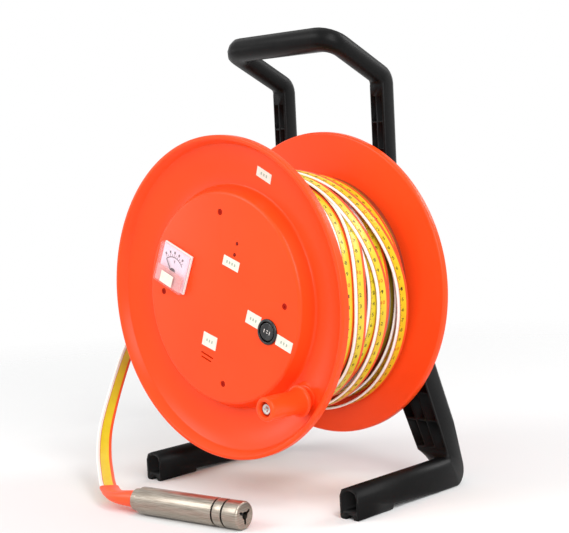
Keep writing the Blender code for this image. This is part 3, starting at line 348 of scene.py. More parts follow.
tapeColours = {
    "white": fromScreen(250, 247, 240), "line": fromScreen(196, 62, 40), "yellow": fromScreen(229, 207, 42),
    "dull": fromScreen(217, 190, 36), "orange": fromScreen(240, 82, 34), "ink": (0.006, 0.005, 0.005),
    "shade": (0.040, 0.012, 0.006),
}
# The thin red-brown line beside the white edge is partly print and partly a painted shadow of the edge's
# bead
tapeEdges = {"white": 0.215, "line": 0.25, "orange": 0.80}
tapeLook = {
    "coat": 0.25, "coatRoughness": 0.2, "dirt": (60, 3), "levels": (0.35, 0.8), "relief": (0.05, 0.0003),
    "roughness": 0.30, "spread": 0.16,
}
packedLook = {
    "roughness": 0.5, "wobble": (9, 2), "wobbleReach": 0.012, "start": 0.02, "pitch": 0.0150,
    "whiteTo": 0.12, "dullTo": 0.45, "shadeShare": 0.72, "relief": (0.4, 0.001),
}
tapeTicks = (
    {"pitch": 0.001, "reach": 0.075, "thick": 0.00024},
    {"pitch": 0.005, "reach": 0.11, "thick": 0.0003},
    {"pitch": 0.01, "reach": 0.15, "thick": 0.00036},
)


def printedTape(name, s, printed=True):
    look = Look(name, Coat_Weight=s["coat"], Coat_Roughness=s["coatRoughness"])
    c = tapeColours
    along = look.add("ShaderNodeSeparateXYZ", {}, (look.add("ShaderNodeTexCoord", output="UV"),))
    across = along.output("Y")
    dirt = look.noise(*s["dirt"])
    # Beside the white edge a thin red-brown line: partly print, partly a painted shadow of the bead
    colour = look.mix(across > tapeEdges["white"], c["white"], c["line"])
    body = look.mix(dirt.ramp(*s["levels"]), c["yellow"], c["dull"])
    colour = look.mix(across > tapeEdges["line"], colour, body)
    colour = look.mix(across > tapeEdges["orange"], colour, c["orange"])
    if printed:
        for tick in tapeTicks:
            mark = (along % tick["pitch"]) < tick["thick"]
            band = (across > tapeEdges["line"]) * (across < tapeEdges["line"] + tick["reach"])
            colour = look.mix(mark * band, colour, c["ink"])
    rough = s["roughness"] + dirt * s["spread"]
    return look.finish(Base_Color=colour, Roughness=rough, Normal=look.bump(dirt, *s["relief"]))


# Packed turns seen edge to edge between the loose ones: the tape's colours, in deep shade
def packedTape(name, s):
    look = Look(name, Roughness=s["roughness"])
    c = tapeColours
    depth = look.add("ShaderNodeSeparateXYZ", {}, (look.place(),), "Y")
    wobble = look.noise(*s["wobble"])
    share = ((depth + wobble * s["wobbleReach"] - s["start"]) / s["pitch"]) % 1.0
    colour = look.mix(share > s["whiteTo"], c["white"], c["dull"])
    colour = look.mix(share > s["dullTo"], colour, c["orange"])
    shaded = look.mix(s["shadeShare"], colour, c["shade"])
    return look.finish(Base_Color=shaded, Normal=look.bump(share, *s["relief"]))


# Shapes as (points, faces), about the hub axis unless a comment says otherwise

# How many sides a turned shape has, and how near the axis a profile's point is taken to be on it
sides = {
    "rim": 224, "core": 120, "part": 96, "rocker": 72, "bore": 64, "bolt": 32, "screw": 28, "lamp": 24,
    "pin": 16,
}
onAxis = 1e-7


def arc(centreR, centreY, radius, start, end, steps):
    turns = [math.radians(start + (end - start) * k / steps) for k in range(steps + 1)]
    return [(centreR + radius * math.cos(t), centreY + radius * math.sin(t)) for t in turns]


def lathe(profile, steps):
    points, faces, rings = [], [], []
    for radius, y in profile:
        if radius < onAxis:
            rings.append([len(points)] * steps)
            points.append((0, y, 0))
            continue
        rings.append(list(range(len(points), len(points) + steps)))
        turns = [2 * math.pi * k / steps for k in range(steps)]
        points += [(radius * math.cos(t), y, radius * math.sin(t)) for t in turns]
    closed = profile[0][0] > onAxis and profile[-1][0] > onAxis
    for low, high in zip(rings, rings[1:] + rings[:1] if closed else rings[1:]):
        for k in range(steps):
            after = (k + 1) % steps
            face = list(dict.fromkeys((low[k], low[after], high[after], high[k])))
            if len(face) > 2:
                faces.append(face)
    return points, faces


def plug(radius, front, back, steps):
    return lathe([(0, front), (radius, front), (radius, back), (0, back)], steps)


def loft(rings):
    count = len(rings[0])
    points = [tuple(p) for ring in rings for p in ring]
    faces = [list(range(count)), [len(points) - count + k for k in range(count)]]
    for r in range(len(rings) - 1):
        here, there = r * count, (r + 1) * count
        for k in range(count):
            after = (k + 1) % count
            faces.append((here + k, here + after, there + after, there + k))
    return points, faces


def block(low, high, bevel=0.0, segments=3):
    bm = bmesh.new()
    bmesh.ops.create_cube(bm, size=1.0)
    for v in bm.verts:
        v.co = [low[i] + (v.co[i] + 0.5) * (high[i] - low[i]) for i in range(3)]
    if bevel:
        bmesh.ops.bevel(bm, geom=bm.edges[:], offset=bevel, segments=segments, affect="EDGES")
    bm.verts.index_update()
    shape = [tuple(v.co) for v in bm.verts], [[v.index for v in f.verts] for f in bm.faces]
    bm.free()
    return shape


# Turned clockwise, as the panel is read, and then moved
def moved(shape, x=0.0, y=0.0, z=0.0, turn=0.0):
    c, s = math.cos(math.radians(turn)), math.sin(math.radians(turn))
    return [(x + c * a + s * b, y + d, z - s * a + c * b) for a, d, b in shape[0]], shape[1]


def joined(*shapes):
    points, faces = [], []
    for shape in shapes:
        base = len(points)
        points += list(shape[0])
        faces += [[base + k for k in face] for face in shape[1]]
    return points, faces


# Objects from shapes

def settled(mesh, weld=0.0):
    bm = bmesh.new()
    bm.from_mesh(mesh)
    if weld:
        bmesh.ops.remove_doubles(bm, verts=bm.verts[:], dist=weld)
    bmesh.ops.recalc_face_normals(bm, faces=bm.faces[:])
    bm.to_mesh(mesh)
    bm.free()


def meshOf(name, shape, inWorld=False):
    mesh = bpy.data.meshes.new(name)
    points = shape[0] if inWorld else [inReel(*p) for p in shape[0]]
    mesh.from_pydata([tuple(p) for p in points], [], shape[1])
    settled(mesh)
    return mesh


def linked(name, mesh):
    made = bpy.data.objects.new(name, mesh)
    scene.collection.objects.link(made)
    return made


# What the modifiers make becomes the object's own plain mesh
def baked(made):
    graph = bpy.context.evaluated_depsgraph_get()
    mesh = bpy.data.meshes.new_from_object(made.evaluated_get(graph))
    made.modifiers.clear()
    made.data = mesh


# A tool's shape is cut out of an object, and the tool is removed
def carved(made, tool):
    change = made.modifiers.new("cut", "BOOLEAN")
    change.solver = "EXACT"
    change.object = tool
    baked(made)
    bpy.data.objects.remove(tool)


def grown(name, mesh, tree, values):
    made = linked(name, mesh)
    change = made.modifiers.new("growth", "NODES")
    change.node_group = tree
    for item in tree.interface.items_tree:
        if item.in_out == "INPUT" and item.name in values:
            change[item.identifier] = values[item.name]
    baked(made)
    settled(made.data)
    return made


# A finished object rides on a body, and may stand for nodes and take a finish
def seated(made, body, nodes=(), smooth=38):
    made.data.shade_smooth()
    made.data.set_sharp_from_angle(angle=math.radians(smooth))
    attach(made, body)
    for node in nodes:
        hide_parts(node)
    return made


def piece(name, shape, material, body, nodes=(), slot=None, smooth=38, cut=None, inWorld=False):
    made = linked(name, meshOf(name, shape, inWorld))
    if cut:
        carved(made, linked(name + "Tool", meshOf(name + "Tool", cut, inWorld)))
    paint(made, material)
    return seated(made, body, nodes, smooth)


def paint(made, material):
    made.data.materials.clear()
    made.data.materials.append(material)


probeTurn = 7.6
orangeFinish = orangePlastic("orangePlastic", orangeLook)
blackFinish = blackPlastic("blackPlastic", blackLook)
probeFinish = turnedSteel("turnedSteel", steelLook, (0, math.pi / 2, -math.radians(probeTurn)))
fastenerFinish = plainFinish("zincSteel", (0.62, 0.61, 0.58), roughness=0.34, metallic=1.0, grain=900)
# The disc's screws are painted dark red: a painted shade for the deep recesses that they sit in
screwRecessShadeFinish = plainFinish("screwRecessShade", (0.46, 0.012, 0.003), roughness=0.55, grain=900, specular=0.1)
nylonFinish = plainFinish("nylon", fromScreen(222, 217, 200), roughness=0.5)
rubberFinish = plainFinish("rubber", (0.012, 0.012, 0.012), roughness=0.65)
shrinkFinish = plainFinish("heatShrink", fromScreen(250, 84, 30), roughness=0.40, grain=240)
whiteFinish = plainFinish("whitePlastic", fromScreen(240, 236, 230), roughness=0.4)
labelFinish = plainFinish("labelFilm", fromScreen(248, 243, 228), roughness=0.35, grain=320)
labelInk = plainFinish("labelInk", fromScreen(178, 190, 172), roughness=0.5)
lampFinish = plainFinish("lampLens", (0.24, 0.008, 0.005), roughness=0.2, specular=0.2)
boardFinish = plainFinish("circuitBoard", (0.01, 0.10, 0.035))
batteryFinish = plainFinish("batteryCase", (0.10, 0.105, 0.11), roughness=0.35, metallic=0.7)
needleFinish = plainFinish("needleBlack", (0.02, 0.018, 0.02), roughness=0.4)
switchFinish = plainFinish("switchBlack", (0.010, 0.011, 0.012), roughness=0.26)
inkFinish = plainFinish("digitInk", (0.012, 0.011, 0.010))
redInkFinish = plainFinish("digitRed", fromScreen(222, 50, 30))
tapeFinish = printedTape("printedTape", tapeLook)
plainTapeFinish = printedTape("plainTape", tapeLook, printed=False)

# Front flange: rim lip, dished floor and the raised disc that carries the instruments

flange = {
    "radius": 0.150, "lip": 0.0045, "slope": 0.0025, "rimDepth": 0.0078, "floorOuter": 0.009,
    "floorInner": 0.0172, "floorInnerRadius": 0.1065, "wall": 0.003, "discDepth": 0.0018,
    "discRadius": 0.0996, "discFillet": 0.004, "discDraft": 0.0035, "cove": 0.0032, "edge": 0.0006,
    "discArc": (-90, -14, 7), "coveArc": (166, 102, 6), "lipArc": (200, 270, 4), "rimArc": (-90, 0, 5),
    "boss": (
        (0, 0.0105), (0.0125, 0.0105), (0.0135, 0.0112), (0.0138, 0.0128), (0.0158, 0.0144), (0, 0.0144),
    ),
}
screwRing = {
    "count": 4, "radius": 0.0799, "turn": -3, "head": 0.0027, "recess": 0.0018, "lift": 0.0014,
    "shank": 0.0015, "length": 0.012, "gap": 0.0003, "crossReach": 0.0016, "crossWidth": 0.0006,
    "crossDepth": 0.0008, "seed": 7,
}
crankAt = jointAt["crank_grip_spin"] - inReel(0, 0, 0)
lampPlaces = ((0.0243, 0.0508), (0.0203, 0.0406))
lampBore = 0.0018
switchAt = (0.0578, -0.0277)
switchBore = 0.0106
soundSlots = {
    "x": -0.0242, "z": -0.0560, "turn": 21, "length": 0.015, "width": 0.0015, "pitch": 0.004, "taper": 0.2,
}
cutClear = 0.004


def floorOuterRadius(s):
    return s["radius"] - s["lip"] - s["slope"]


def floorAt(s, radius):
    if radius < s["discRadius"]:
        return s["discDepth"]
    share = (radius - s["floorInnerRadius"]) / (floorOuterRadius(s) - s["floorInnerRadius"])
    return s["floorInner"] + share * (s["floorOuter"] - s["floorInner"])


def frontFlange(s, screws, slots):
    outer = floorOuterRadius(s)
    foot = s["discRadius"] + s["discDraft"]
    edge = s["edge"]
    fillet = s["discFillet"]
    face = [(0, s["discDepth"])]
    face += arc(s["discRadius"] - fillet, s["discDepth"] + fillet, fillet, *s["discArc"])
    face += arc(foot + s["cove"], s["floorInner"] - s["cove"] - edge / 3, s["cove"], *s["coveArc"])
    face += [(outer - 2.5 * edge, s["floorOuter"] + edge / 2), (outer - edge, s["floorOuter"] - edge)]
    face += [(s["radius"] - s["lip"] - edge / 2, 2 * edge)]
    lipRound = s["lip"] / 3
    face += arc(s["radius"] - s["lip"] + lipRound, lipRound, lipRound, *s["lipArc"])
    face += arc(s["radius"] - lipRound, lipRound, lipRound, *s["rimArc"])
    face += [(s["radius"], s["rimDepth"] - edge), (s["radius"] - edge, s["rimDepth"])]
    face += [(s["radius"] - s["lip"] / 2, s["rimDepth"] + 2 * edge)]
    inner = s["floorInner"] + s["wall"]
    back = [(outer, s["floorOuter"] + s["wall"]), (s["floorInnerRadius"] - 2 * edge, inner)]
    back += [(foot - s["wall"] + edge, inner - 2 * edge)]
    corner = s["discRadius"] - s["wall"]
    under = s["discDepth"] + s["wall"]
    back += [(corner, under + fillet / 2), (corner - fillet / 2, under), (0, under)]
    ahead = s["discDepth"] - cutClear
    behind = under + cutClear
    wide = screws["head"] + screws["gap"]
    seat = s["discDepth"] + screws["recess"]
    recess = plug(wide, ahead, seat, sides["bolt"])
    lampHole = plug(lampBore, ahead, behind, sides["lamp"])
    switchHole = plug(switchBore, ahead, behind, sides["bore"])
    cuts = [moved(lampHole, x, 0, z) for x, z in lampPlaces]
    cuts.append(moved(switchHole, switchAt[0], 0, switchAt[1]))
    for k in range(screws["count"]):
        turn = math.radians(360 * k / screws["count"] + screws["turn"])
        cuts.append(moved(recess, screws["radius"] * math.cos(turn), 0, screws["radius"] * math.sin(turn)))
    for k in (-0.5, 0.5):
        half = slots["length"] / 2 * (1 + slots["taper"] * k)
        low = k * slots["pitch"] - slots["width"] / 2
        high = k * slots["pitch"] + slots["width"] / 2
        slot = block((-half, ahead, low), (half, behind, high))
        cuts.append(moved(slot, slots["x"], 0, slots["z"], slots["turn"]))
    shape = lathe(face + back, sides["rim"])
    settings = {"smooth": 44, "cut": joined(*cuts)}
    piece("frontFlange", shape, orangeFinish, "reel", ["front_flange"], "orange_plastic", **settings)
    boss = moved(lathe(s["boss"], sides["bore"]), crankAt.x, 0, crankAt.z)
    piece("crankBoss", boss, orangeFinish, "reel", slot="orange_plastic")


# The disc's screws: one screw, its turn left to chance, at each point of a ring about the hub
def screwTree():
    inputs = {"Screw": "Object", "Count": "Int", "Radius": "Float", "Turn": "Float", "Place": "Vector"}
    t = Shaping("screwRing", {**inputs, "Seed": "Int", "Finish": "Material"})
    ring = t.add("GeometryNodeMeshCircle", {}, {"Vertices": t.given("Count"), "Radius": t.given("Radius")})
    lie = t.add("ShaderNodeCombineXYZ", {}, (math.pi / 2, 0 - t.given("Turn"), 0))
    values = {"Geometry": ring, "Translation": t.given("Place"), "Rotation": lie}
    ring = t.add("GeometryNodeTransform", {}, values)
    screw = t.add("GeometryNodeObjectInfo", {}, {"Object": t.given("Screw")}, "Geometry")
    heads = t.add("GeometryNodeInstanceOnPoints", {}, {"Points": ring, "Instance": screw})
    turn = t.add("FunctionNodeRandomValue", {"data_type": "FLOAT"}, {"Seed": t.given("Seed")}, 1)
    spin = t.add("ShaderNodeCombineXYZ", {}, (0, turn * math.pi, 0))
    heads = t.add("GeometryNodeRotateInstances", {}, {"Instances": heads, "Rotation": spin})
    solid = t.add("GeometryNodeRealizeInstances", {}, {"Geometry": heads})
    return t.finish(t.painted(solid, "Finish"))


def discScrews(s, f):
    crown = [(0, -s["lift"]), (s["head"] - s["gap"], -s["lift"])]
    crown += [(s["head"], -s["lift"] + s["gap"]), (s["head"], 0), (s["shank"], 0)]
    crown += [(s["shank"], s["length"]), (0, s["length"])]
    screw = linked("screwPattern", meshOf("screwPattern", lathe(crown, sides["screw"]), inWorld=True))
    long, slim = s["crossReach"], s["crossWidth"] / 2
    front, floor = -s["lift"] - s["gap"], -s["lift"] + s["crossDepth"]
    bar = block((-long, front, -slim), (long, floor, slim))
    for turn in (0, 90):
        mesh = meshOf("crossTool", moved(bar, turn=turn), inWorld=True)
        carved(screw, linked("crossTool", mesh))
    seat = f["discDepth"] + s["recess"] - s["gap"]
    # The screws take the dark red painted shade of their recesses
    values = {
        "Screw": screw, "Count": s["count"], "Radius": s["radius"], "Turn": math.radians(s["turn"]),
        "Place": inReel(0, seat, 0), "Seed": s["seed"], "Finish": screwRecessShadeFinish,
    }
    made = grown("discScrews", bpy.data.meshes.new("discScrews"), screwTree(), values)
    bpy.data.objects.remove(screw)
    seated(made, "reel", [f"flange_screw_{k + 1}" for k in range(s["count"])], smooth=30)


backPlate = {
    "depth": 0.141, "rimBack": 0.148, "hubRadius": 0.092, "hubExtra": 0.002, "bore": 0.0157,
    "round": 0.0026, "edge": 0.0008,
}


def backFlange(s, f):
    plate = s["depth"] + f["wall"]
    lip = f["radius"] - f["lip"]
    hub = plate + s["hubExtra"]
    profile = [(s["bore"], s["depth"])]
    profile += arc(f["radius"] - s["round"], s["depth"] + s["round"], s["round"], -90, 0, 6)
    profile += [(f["radius"], s["rimBack"] - s["edge"]), (f["radius"] - s["edge"], s["rimBack"])]
    profile += [(lip, s["rimBack"]), (lip - f["slope"], plate), (s["hubRadius"] + f["wall"], plate)]
    profile += [(s["hubRadius"], hub), (s["bore"], hub)]
    shape = lathe(profile, sides["rim"])
    piece("backFlange", shape, orangeFinish, "reel", ["back_flange"], "orange_plastic", smooth=40)


# Wound tape: a packed core and the loose outer turns that cross each other.
# A turn's depths are those of its white edge in millimetres, every eighth of a turn from the reel's right.

roll = {
    "front": 0.0206, "back": 0.1406, "inner": 0.0864, "coreRadius": 0.1070, "width": 0.016, "bead": 0.0011,
    "web": 0.00055, "webEnd": 2.5, "rising": (0.35, 0.9, 1.5, 2.1), "falling": (1.04, 1.64, 2.24, 2.79),
    "stations": 144, "coreStations": 60, "coreWave": 0.0010, "coreTurn": 0.42, "weld": 0.00003,
}
turns = (
    {"radius": 0.1082, "sag": 0, "depths": (24, 23.5, 22.5, 22, 21.5, 22.2, 23, 23.8)},
    {"radius": 0.1082, "sag": 0, "depths": (47, 60, 63, 57, 50, 50, 57, 57)},
    {"radius": 0.1100, "sag": 0.002, "depths": (80, 80, 84, 85, 80, 76, 74, 77)},
    {"radius": 0.1084, "sag": 0.002, "depths": (96.5, 99, 98.5, 96, 97, 99, 100, 99.5)},
    {"radius": 0.1098, "sag": 0.006, "depths": (118.5, 113, 107, 109, 118, 121, 119, 120)},
    {"radius": 0.1112, "sag": 0.003, "depths": (60, 74, 77.5, 70, 63, 64, 73, 71)},
    {"radius": 0.1128, "sag": 0.006, "depths": (89, 75, 73, 80, 88, 92, 89, 90.5)},
    {"radius": 0.1146, "sag": 0.0085, "depths": (115, 95, 79, 83, 94, 108, 120, 122)},
)
digits = {
    "pitch": 0.01, "height": 0.0044, "lift": 0.00045, "thick": 0.0002, "aside": -0.00125, "below": -0.0015,
    "redAside": -0.0026, "stretch": (1.5, 1.1, 1), "row": "987654321", "red": "10", "smoothness": 2,
    "weld": 0.000001,
}


# A smooth step from b to c by the share t, with a before them and d after
def between(a, b, c, d, t):
    bend = (2 * a - 5 * b + 4 * c - d) * t**2 + (3 * b - a - 3 * c + d) * t**3
    return 0.5 * (2 * b + (c - a) * t + bend)


def smoothRound(values, turn):
    at = turn / (2 * math.pi) * len(values)
    k = math.floor(at)
    return between(*(values[(k + n) % len(values)] for n in (-1, 0, 1, 2)), at - k)


# The tape's section: a bead along each edge and a thin web between
def tapeSection(s):
    half, bead, web = s["width"] / 2, s["bead"], s["web"]
    upper = [(-half + bead - bead * math.cos(t), bead * math.sin(t)) for t in s["rising"]]
    upper += [(-half + s["webEnd"] * bead, web), (0, web), (half - s["webEnd"] * bead, web)]
    upper += [(half - bead - bead * math.cos(t), bead * math.sin(t)) for t in s["falling"]]
    return upper + [(x, -y) for x, y in reversed(upper)]


# A mesh of lines: each line's points in order, each with a vector or a number of its own
def lineMesh(name, lines, attribute, kind, values, closed=False):
    mesh = bpy.data.meshes.new(name)
    points, edges = [], []
    for line in lines:
        first = len(points)
        points += [tuple(p) for p in line]
        edges += [(k, k + 1) for k in range(first, len(points) - 1)]
        if closed:
            edges.append((len(points) - 1, first))
    mesh.from_pydata(points, edges, [])
    layer = mesh.attributes.new(attribute, kind, "POINT")
    for item, value in zip(layer.data, values):
        if kind == "FLOAT_VECTOR":
            item.vector = value
        else:
            item.value = value
    return mesh


# A glyph at each chosen point: its top and sides, and then its underside, welded into closed bodies
def glyphsAt(t, text, aside, places):
    row = t.add("GeometryNodeStringToCurves", {}, {"String": text, "Size": t.given("Height")})
    values = {"Geometry": row, "Resolution": digits["smoothness"]}
    row = t.add("GeometryNodeSetSplineResolution", {}, values)
    here =t.add("GeometryNodeInputPosition")
    back = t.add("ShaderNodeVectorMath", {"operation": "SCALE"}, {0: here, "Scale": -1.0 if aside else 0.0})
    shift = (aside or digits["redAside"], digits["below"], digits["lift"])
    back = t.add("ShaderNodeVectorMath", {"operation": "ADD"}, {0: back, 1: shift})
    flat = t.add("GeometryNodeFillCurve", {}, {"Curve": row})
    values = {"Mesh": flat, "Offset Scale": digits["thick"], "Individual": False}
    top = t.add("GeometryNodeExtrudeMesh", {}, values)
    under = t.add("GeometryNodeFlipFaces", {}, {"Mesh": flat})
    halves = []
    for half in (top, under):
        values = {"Instances": half, "Translation": back, "Local Space": False}
        half = t.add("GeometryNodeTranslateInstances", {}, values)
        values = {**places, "Instance": half, "Scale": digits["stretch"]}
        half = t.add("GeometryNodeInstanceOnPoints", {}, values)
        halves.append(t.add("GeometryNodeRealizeInstances", {}, {"Geometry": half}))
    whole = t.add("GeometryNodeJoinGeometry", {}, {"Geometry": halves})
    return t.add("GeometryNodeMergeByDistance", {}, {"Geometry": whole, "Distance": digits["weld"]})


# The tape follows its lines, with its print's map on it and, where printed, a digit at every pitch
def tapeTree():
    finishes = {"Tape": "Material", "Ink": "Material", "Red Ink": "Material"}
    inputs = {"Profile": "Object", "Capped": "Bool", "Printed": "Bool", "Pitch": "Float", "Height": "Float"}
    t = Shaping("tapeSweep", {**inputs, **finishes})
    line = t.add("GeometryNodeMeshToCurve", {}, {"Mesh": t.given("Geometry")})
    across = t.named("across", "FLOAT_VECTOR")
    line = t.add("GeometryNodeSetCurveNormal", {"mode": "FREE"}, {"Curve": line, "Normal": across})
    length = t.add("GeometryNodeSplineParameter", output="Length")
    track = t.stored(line, "along", "FLOAT", "POINT", length)
    values = {"Curve": track, "Profile Curve": t.curveOf("Profile"), "Fill Caps": t.given("Capped")}
    tape = t.add("GeometryNodeCurveToMesh", {}, values)
    spot = t.add("ShaderNodeCombineXYZ", {}, (t.named("along", "FLOAT"), t.named("share", "FLOAT"), 0))
    tape = t.stored(tape, "print", "FLOAT2", "CORNER", spot)
    tape = t.painted(tape, "Tape")
    values = {"Curve": line, "Length": t.given("Pitch")}
    stops = t.add("GeometryNodeCurveToPoints", {"mode": "LENGTH"}, values)
    axes = {"primary_axis": "Y", "secondary_axis": "X"}
    facing = {"Primary Axis": stops.output("Tangent"), "Secondary Axis": across}
    facing = t.add("FunctionNodeAxesToRotation", axes, facing)
    number = t.add("GeometryNodeInputIndex") % (len(digits["row"]) + 1)
    plain = number < len(digits["row"])
    places = {"Points": stops, "Rotation": facing, "Pick Instance": True, "Instance Index": number}
    places["Selection"] = plain * t.given("Printed")
    black = glyphsAt(t, digits["row"], digits["aside"], places)
    places = {"Points": stops, "Rotation": facing, "Selection": (1 - plain) * t.given("Printed")}
    red = glyphsAt(t, digits["red"], None, places)
    parts = [tape, t.painted(black, "Ink"), t.painted(red, "Red Ink")]
    whole = t.add("GeometryNodeJoinGeometry", {}, {"Geometry": parts})
    return t.finish(t.add("GeometryNodeRealizeInstances", {}, {"Geometry": whole}))


# The tape's width lies as near the hub axis's direction as its heading lets it
def widthOf(heading):
    return (Vector((0, 1, 0)) - heading.y * heading).normalized()


# Rings that meet where a turn closes are welded, and the print's map stays on the faces' corners
def sweptTape(name, lines, finish, closed, tree):
    wides = [Vector((0, 1, 0))] * sum(len(line) for line in lines)
    if not closed:
        line = lines[0]
        steps = zip(line[:1] + line[:-1], line[1:] + line[-1:])
        wides = [widthOf((after - before).normalized()) for before, after in steps]
    section = tapeSection(roll)
    shares = [x / roll["width"] + 0.5 for x, y in section]
    outline = [(x, y, 0) for x, y in section]
    profile = linked("tapeProfile", lineMesh("tapeProfile", [outline], "share", "FLOAT", shares, True))
    values = {
        "Profile": profile, "Tape": finish, "Ink": inkFinish, "Red Ink": redInkFinish, "Capped": not closed,
        "Printed": closed, "Pitch": digits["pitch"], "Height": digits["height"],
    }
    made = grown(name, lineMesh(name, lines, "across", "FLOAT_VECTOR", wides), tree, values)
    bpy.data.objects.remove(profile)
    if closed:
        settled(made.data, roll["weld"])
    for extra in [a.name for a in made.data.attributes if a.name in ("across", "share", "along")]:
        made.data.attributes.remove(made.data.attributes[extra])
    made.data.uv_layers["print"].active = True
    made.data.uv_layers["print"].active_render = True
    return made


def turnLine(s):
    middles = []
    for k in range(roll["stations"] + 1):
        turn = 2 * math.pi * (k % roll["stations"]) / roll["stations"]
        low = max(0.0, -math.sin(turn)) ** 2
        radius = s["radius"] + s["sag"] * low
        depth = smoothRound(s["depths"], turn) / 1000 + roll["width"] / 2
        middles.append(inReel(radius * math.cos(turn), depth, radius * math.sin(turn)))
    return middles


def woundTape(s, tree):
    profile = [(s["inner"], s["front"])]
    for k in range(s["coreStations"] + 1):
        depth = s["front"] + (s["back"] - s["front"]) * k / s["coreStations"]
        profile.append((s["coreRadius"] - s["coreWave"] * abs(math.sin(k * s["coreTurn"])), depth))
    profile += [(s["inner"], s["back"])]
    shape = lathe(profile, sides["core"])
    packed = packedTape("packedTape", packedLook)
    piece("woundCore", shape, packed, "reel", ["wound_tape"], "printed_tape", smooth=60)
    made = sweptTape("woundTurns", [turnLine(one) for one in turns], tapeFinish, True, tree)
    seated(made, "reel", smooth=50)


# Free tape, from where it leaves the roll down to the boot: the same route as the solids have

tapeRoute = [
    (-0.0585, 0.0500, 0.0943),
    (-0.0760, 0.0480, 0.0809),
    (-0.0940, 0.0450, 0.0590),
    (-0.1290, 0.0400, 0.0080),
    (-0.1560, 0.0345, -0.0330),
    (-0.1735, 0.0270, -0.0690),
    (-0.1745, 0.0080, -0.1080),
    (-0.1650, -0.0120, -0.1370),
    (-0.1470, -0.0300, -0.1570),
    (-0.1215, -0.0490, -0.1690),
    (-0.0975, -0.0650, -0.1755),
    (-0.0739, -0.0745, -0.1786),
    (-0.0491, -0.0714, -0.1789),
]
boot = {
    "length": 0.050, "wall": 0.0011, "endRadius": 0.0078, "tapeInside": 0.031, "tapeStations": 90,
    "stations": 26, "sides": 40, "wrinkle": 0.012, "wrinkles": 31, "squareness": 1.6, "step": 0.002,
}
probeHeading = Vector((math.cos(math.radians(probeTurn)), math.sin(math.radians(probeTurn)), 0))


def smoothRoute(points, lastHeading, perSpan=12):
    ends = [2 * Vector(points[0]) - Vector(points[1])] + [Vector(p) for p in points]
    ends.append(ends[-2] + 2 * (ends[-1] - ends[-2]).length * lastHeading)
    curve = []
    for four in zip(ends, ends[1:], ends[2:], ends[3:]):
        curve += [between(*four, k / perSpan) for k in range(perSpan)]
    return [inReel(*p) for p in curve + [ends[-2]]]


class Track:
    def __init__(self, curve):
        self.curve = curve
        self.along = [0.0]
        for before, after in zip(curve, curve[1:]):
            self.along.append(self.along[-1] + (after - before).length)
        self.total = self.along[-1]

    def at(self, distance):
        last = len(self.along) - 1
        k = next(n for n in range(1, last + 1) if self.along[n] >= distance or n == last)
        share = (distance - self.along[k - 1]) / (self.along[k] - self.along[k - 1])
        return self.curve[k - 1].lerp(self.curve[k], share)

    def heading(self, distance, step):
        ahead = self.at(min(distance + step, self.total))
        return (ahead - self.at(max(distance - step, 0.0))).normalized()


def rounded(value, power):
    return math.copysign(abs(value) ** (2 / power), value)


def tapeBoot(s, track):
    rings = []
    flatWide, flatThick = roll["width"] / 2 + s["wall"], roll["bead"] + s["wall"]
    for k in range(s["stations"] + 1):
        share = k / s["stations"]
        ease = share * share * (3 - 2 * share)
        distance = track.total - s["length"] * (1 - share)
        heading = probeHeading if k == s["stations"] else track.heading(distance, s["step"])
        wide = widthOf(heading)
        thick = heading.cross(wide)
        wrinkle = 1 + s["wrinkle"] * math.sin(share * s["wrinkles"]) * (1 - ease)
        a = (flatWide + ease * (s["endRadius"] - flatWide)) * wrinkle
        b = flatThick + ease * (s["endRadius"] - flatThick)
        power = 2 + s["squareness"] * (1 - ease)
        ring = []
        for n in range(s["sides"]):
            t = 2 * math.pi * n / s["sides"]
            place = wide * a * rounded(math.cos(t), power) + thick * b * rounded(math.sin(t), power)
            ring.append(track.at(distance) + place)
        rings.append(ring)
    shape = loft(rings)
    settings = {"smooth": 60, "inWorld": True}
    return piece("tapeBoot", shape, shrinkFinish, "frame", ["tape_boot"], "heat_shrink", **settings)


# The tape runs on inside the boot
def freeTape(s, tree):
    track = Track(smoothRoute(tapeRoute, probeHeading))
    end = track.total - s["length"] + s["tapeInside"]
    line = [track.at(end * k / s["tapeStations"]) for k in range(s["tapeStations"] + 1)]
    made = sweptTape("freeTape", [line], plainTapeFinish, False, tree)
    seated(made, "frame", ["free_tape"], smooth=50)
    return made, tapeBoot(s, track), line, end


# Probe: turned along its own heading from the boot's end

probe = {
    "rear": (-0.0491, -0.0714, -0.1789), "radius": 0.0125, "collarRadius": 0.0104, "collar": 0.008,
    "tubeEnd": 0.096, "seal": 0.0012, "sealInset": 0.0012, "ring": 0.0090, "length": 0.125,
    "chamfer": 0.0022, "bore": 0.0036, "slotWidth": 0.0026, "slotReach": 0.0080, "slotDepth": 0.012,
    "slotLift": 0.002, "slotRound": 0.0008, "gap": 0.0003, "edge": 0.0006, "collarEdge": 0.001, "slots": 3,
    "slotTurn": 60,
}


def probePiece(name, profile, material, node, slot, cuts=None, steps=sides["part"]):
    rear = inReel(*probe["rear"])
    side = Vector((-probeHeading.y, probeHeading.x, 0))

    def lay(shape):
        points = [rear + probeHeading * y + side * x + Vector((0, 0, z)) for x, y, z in shape[0]]
        return points, shape[1]

    settings = {"smooth": 30, "cut": lay(cuts) if cuts else None, "inWorld": True}
    return piece(name, lay(lathe(profile, steps)), material, "frame", [node], slot, **settings)


# A round bar's profile with its edges broken, from one end to the other
def barProfile(radius, start, end, edge):
    profile = [(0, start)] + arc(radius - edge, start + edge, edge, -90, 0, 3)
    return profile + arc(radius - edge, end - edge, edge, 0, 90, 3) + [(0, end)]


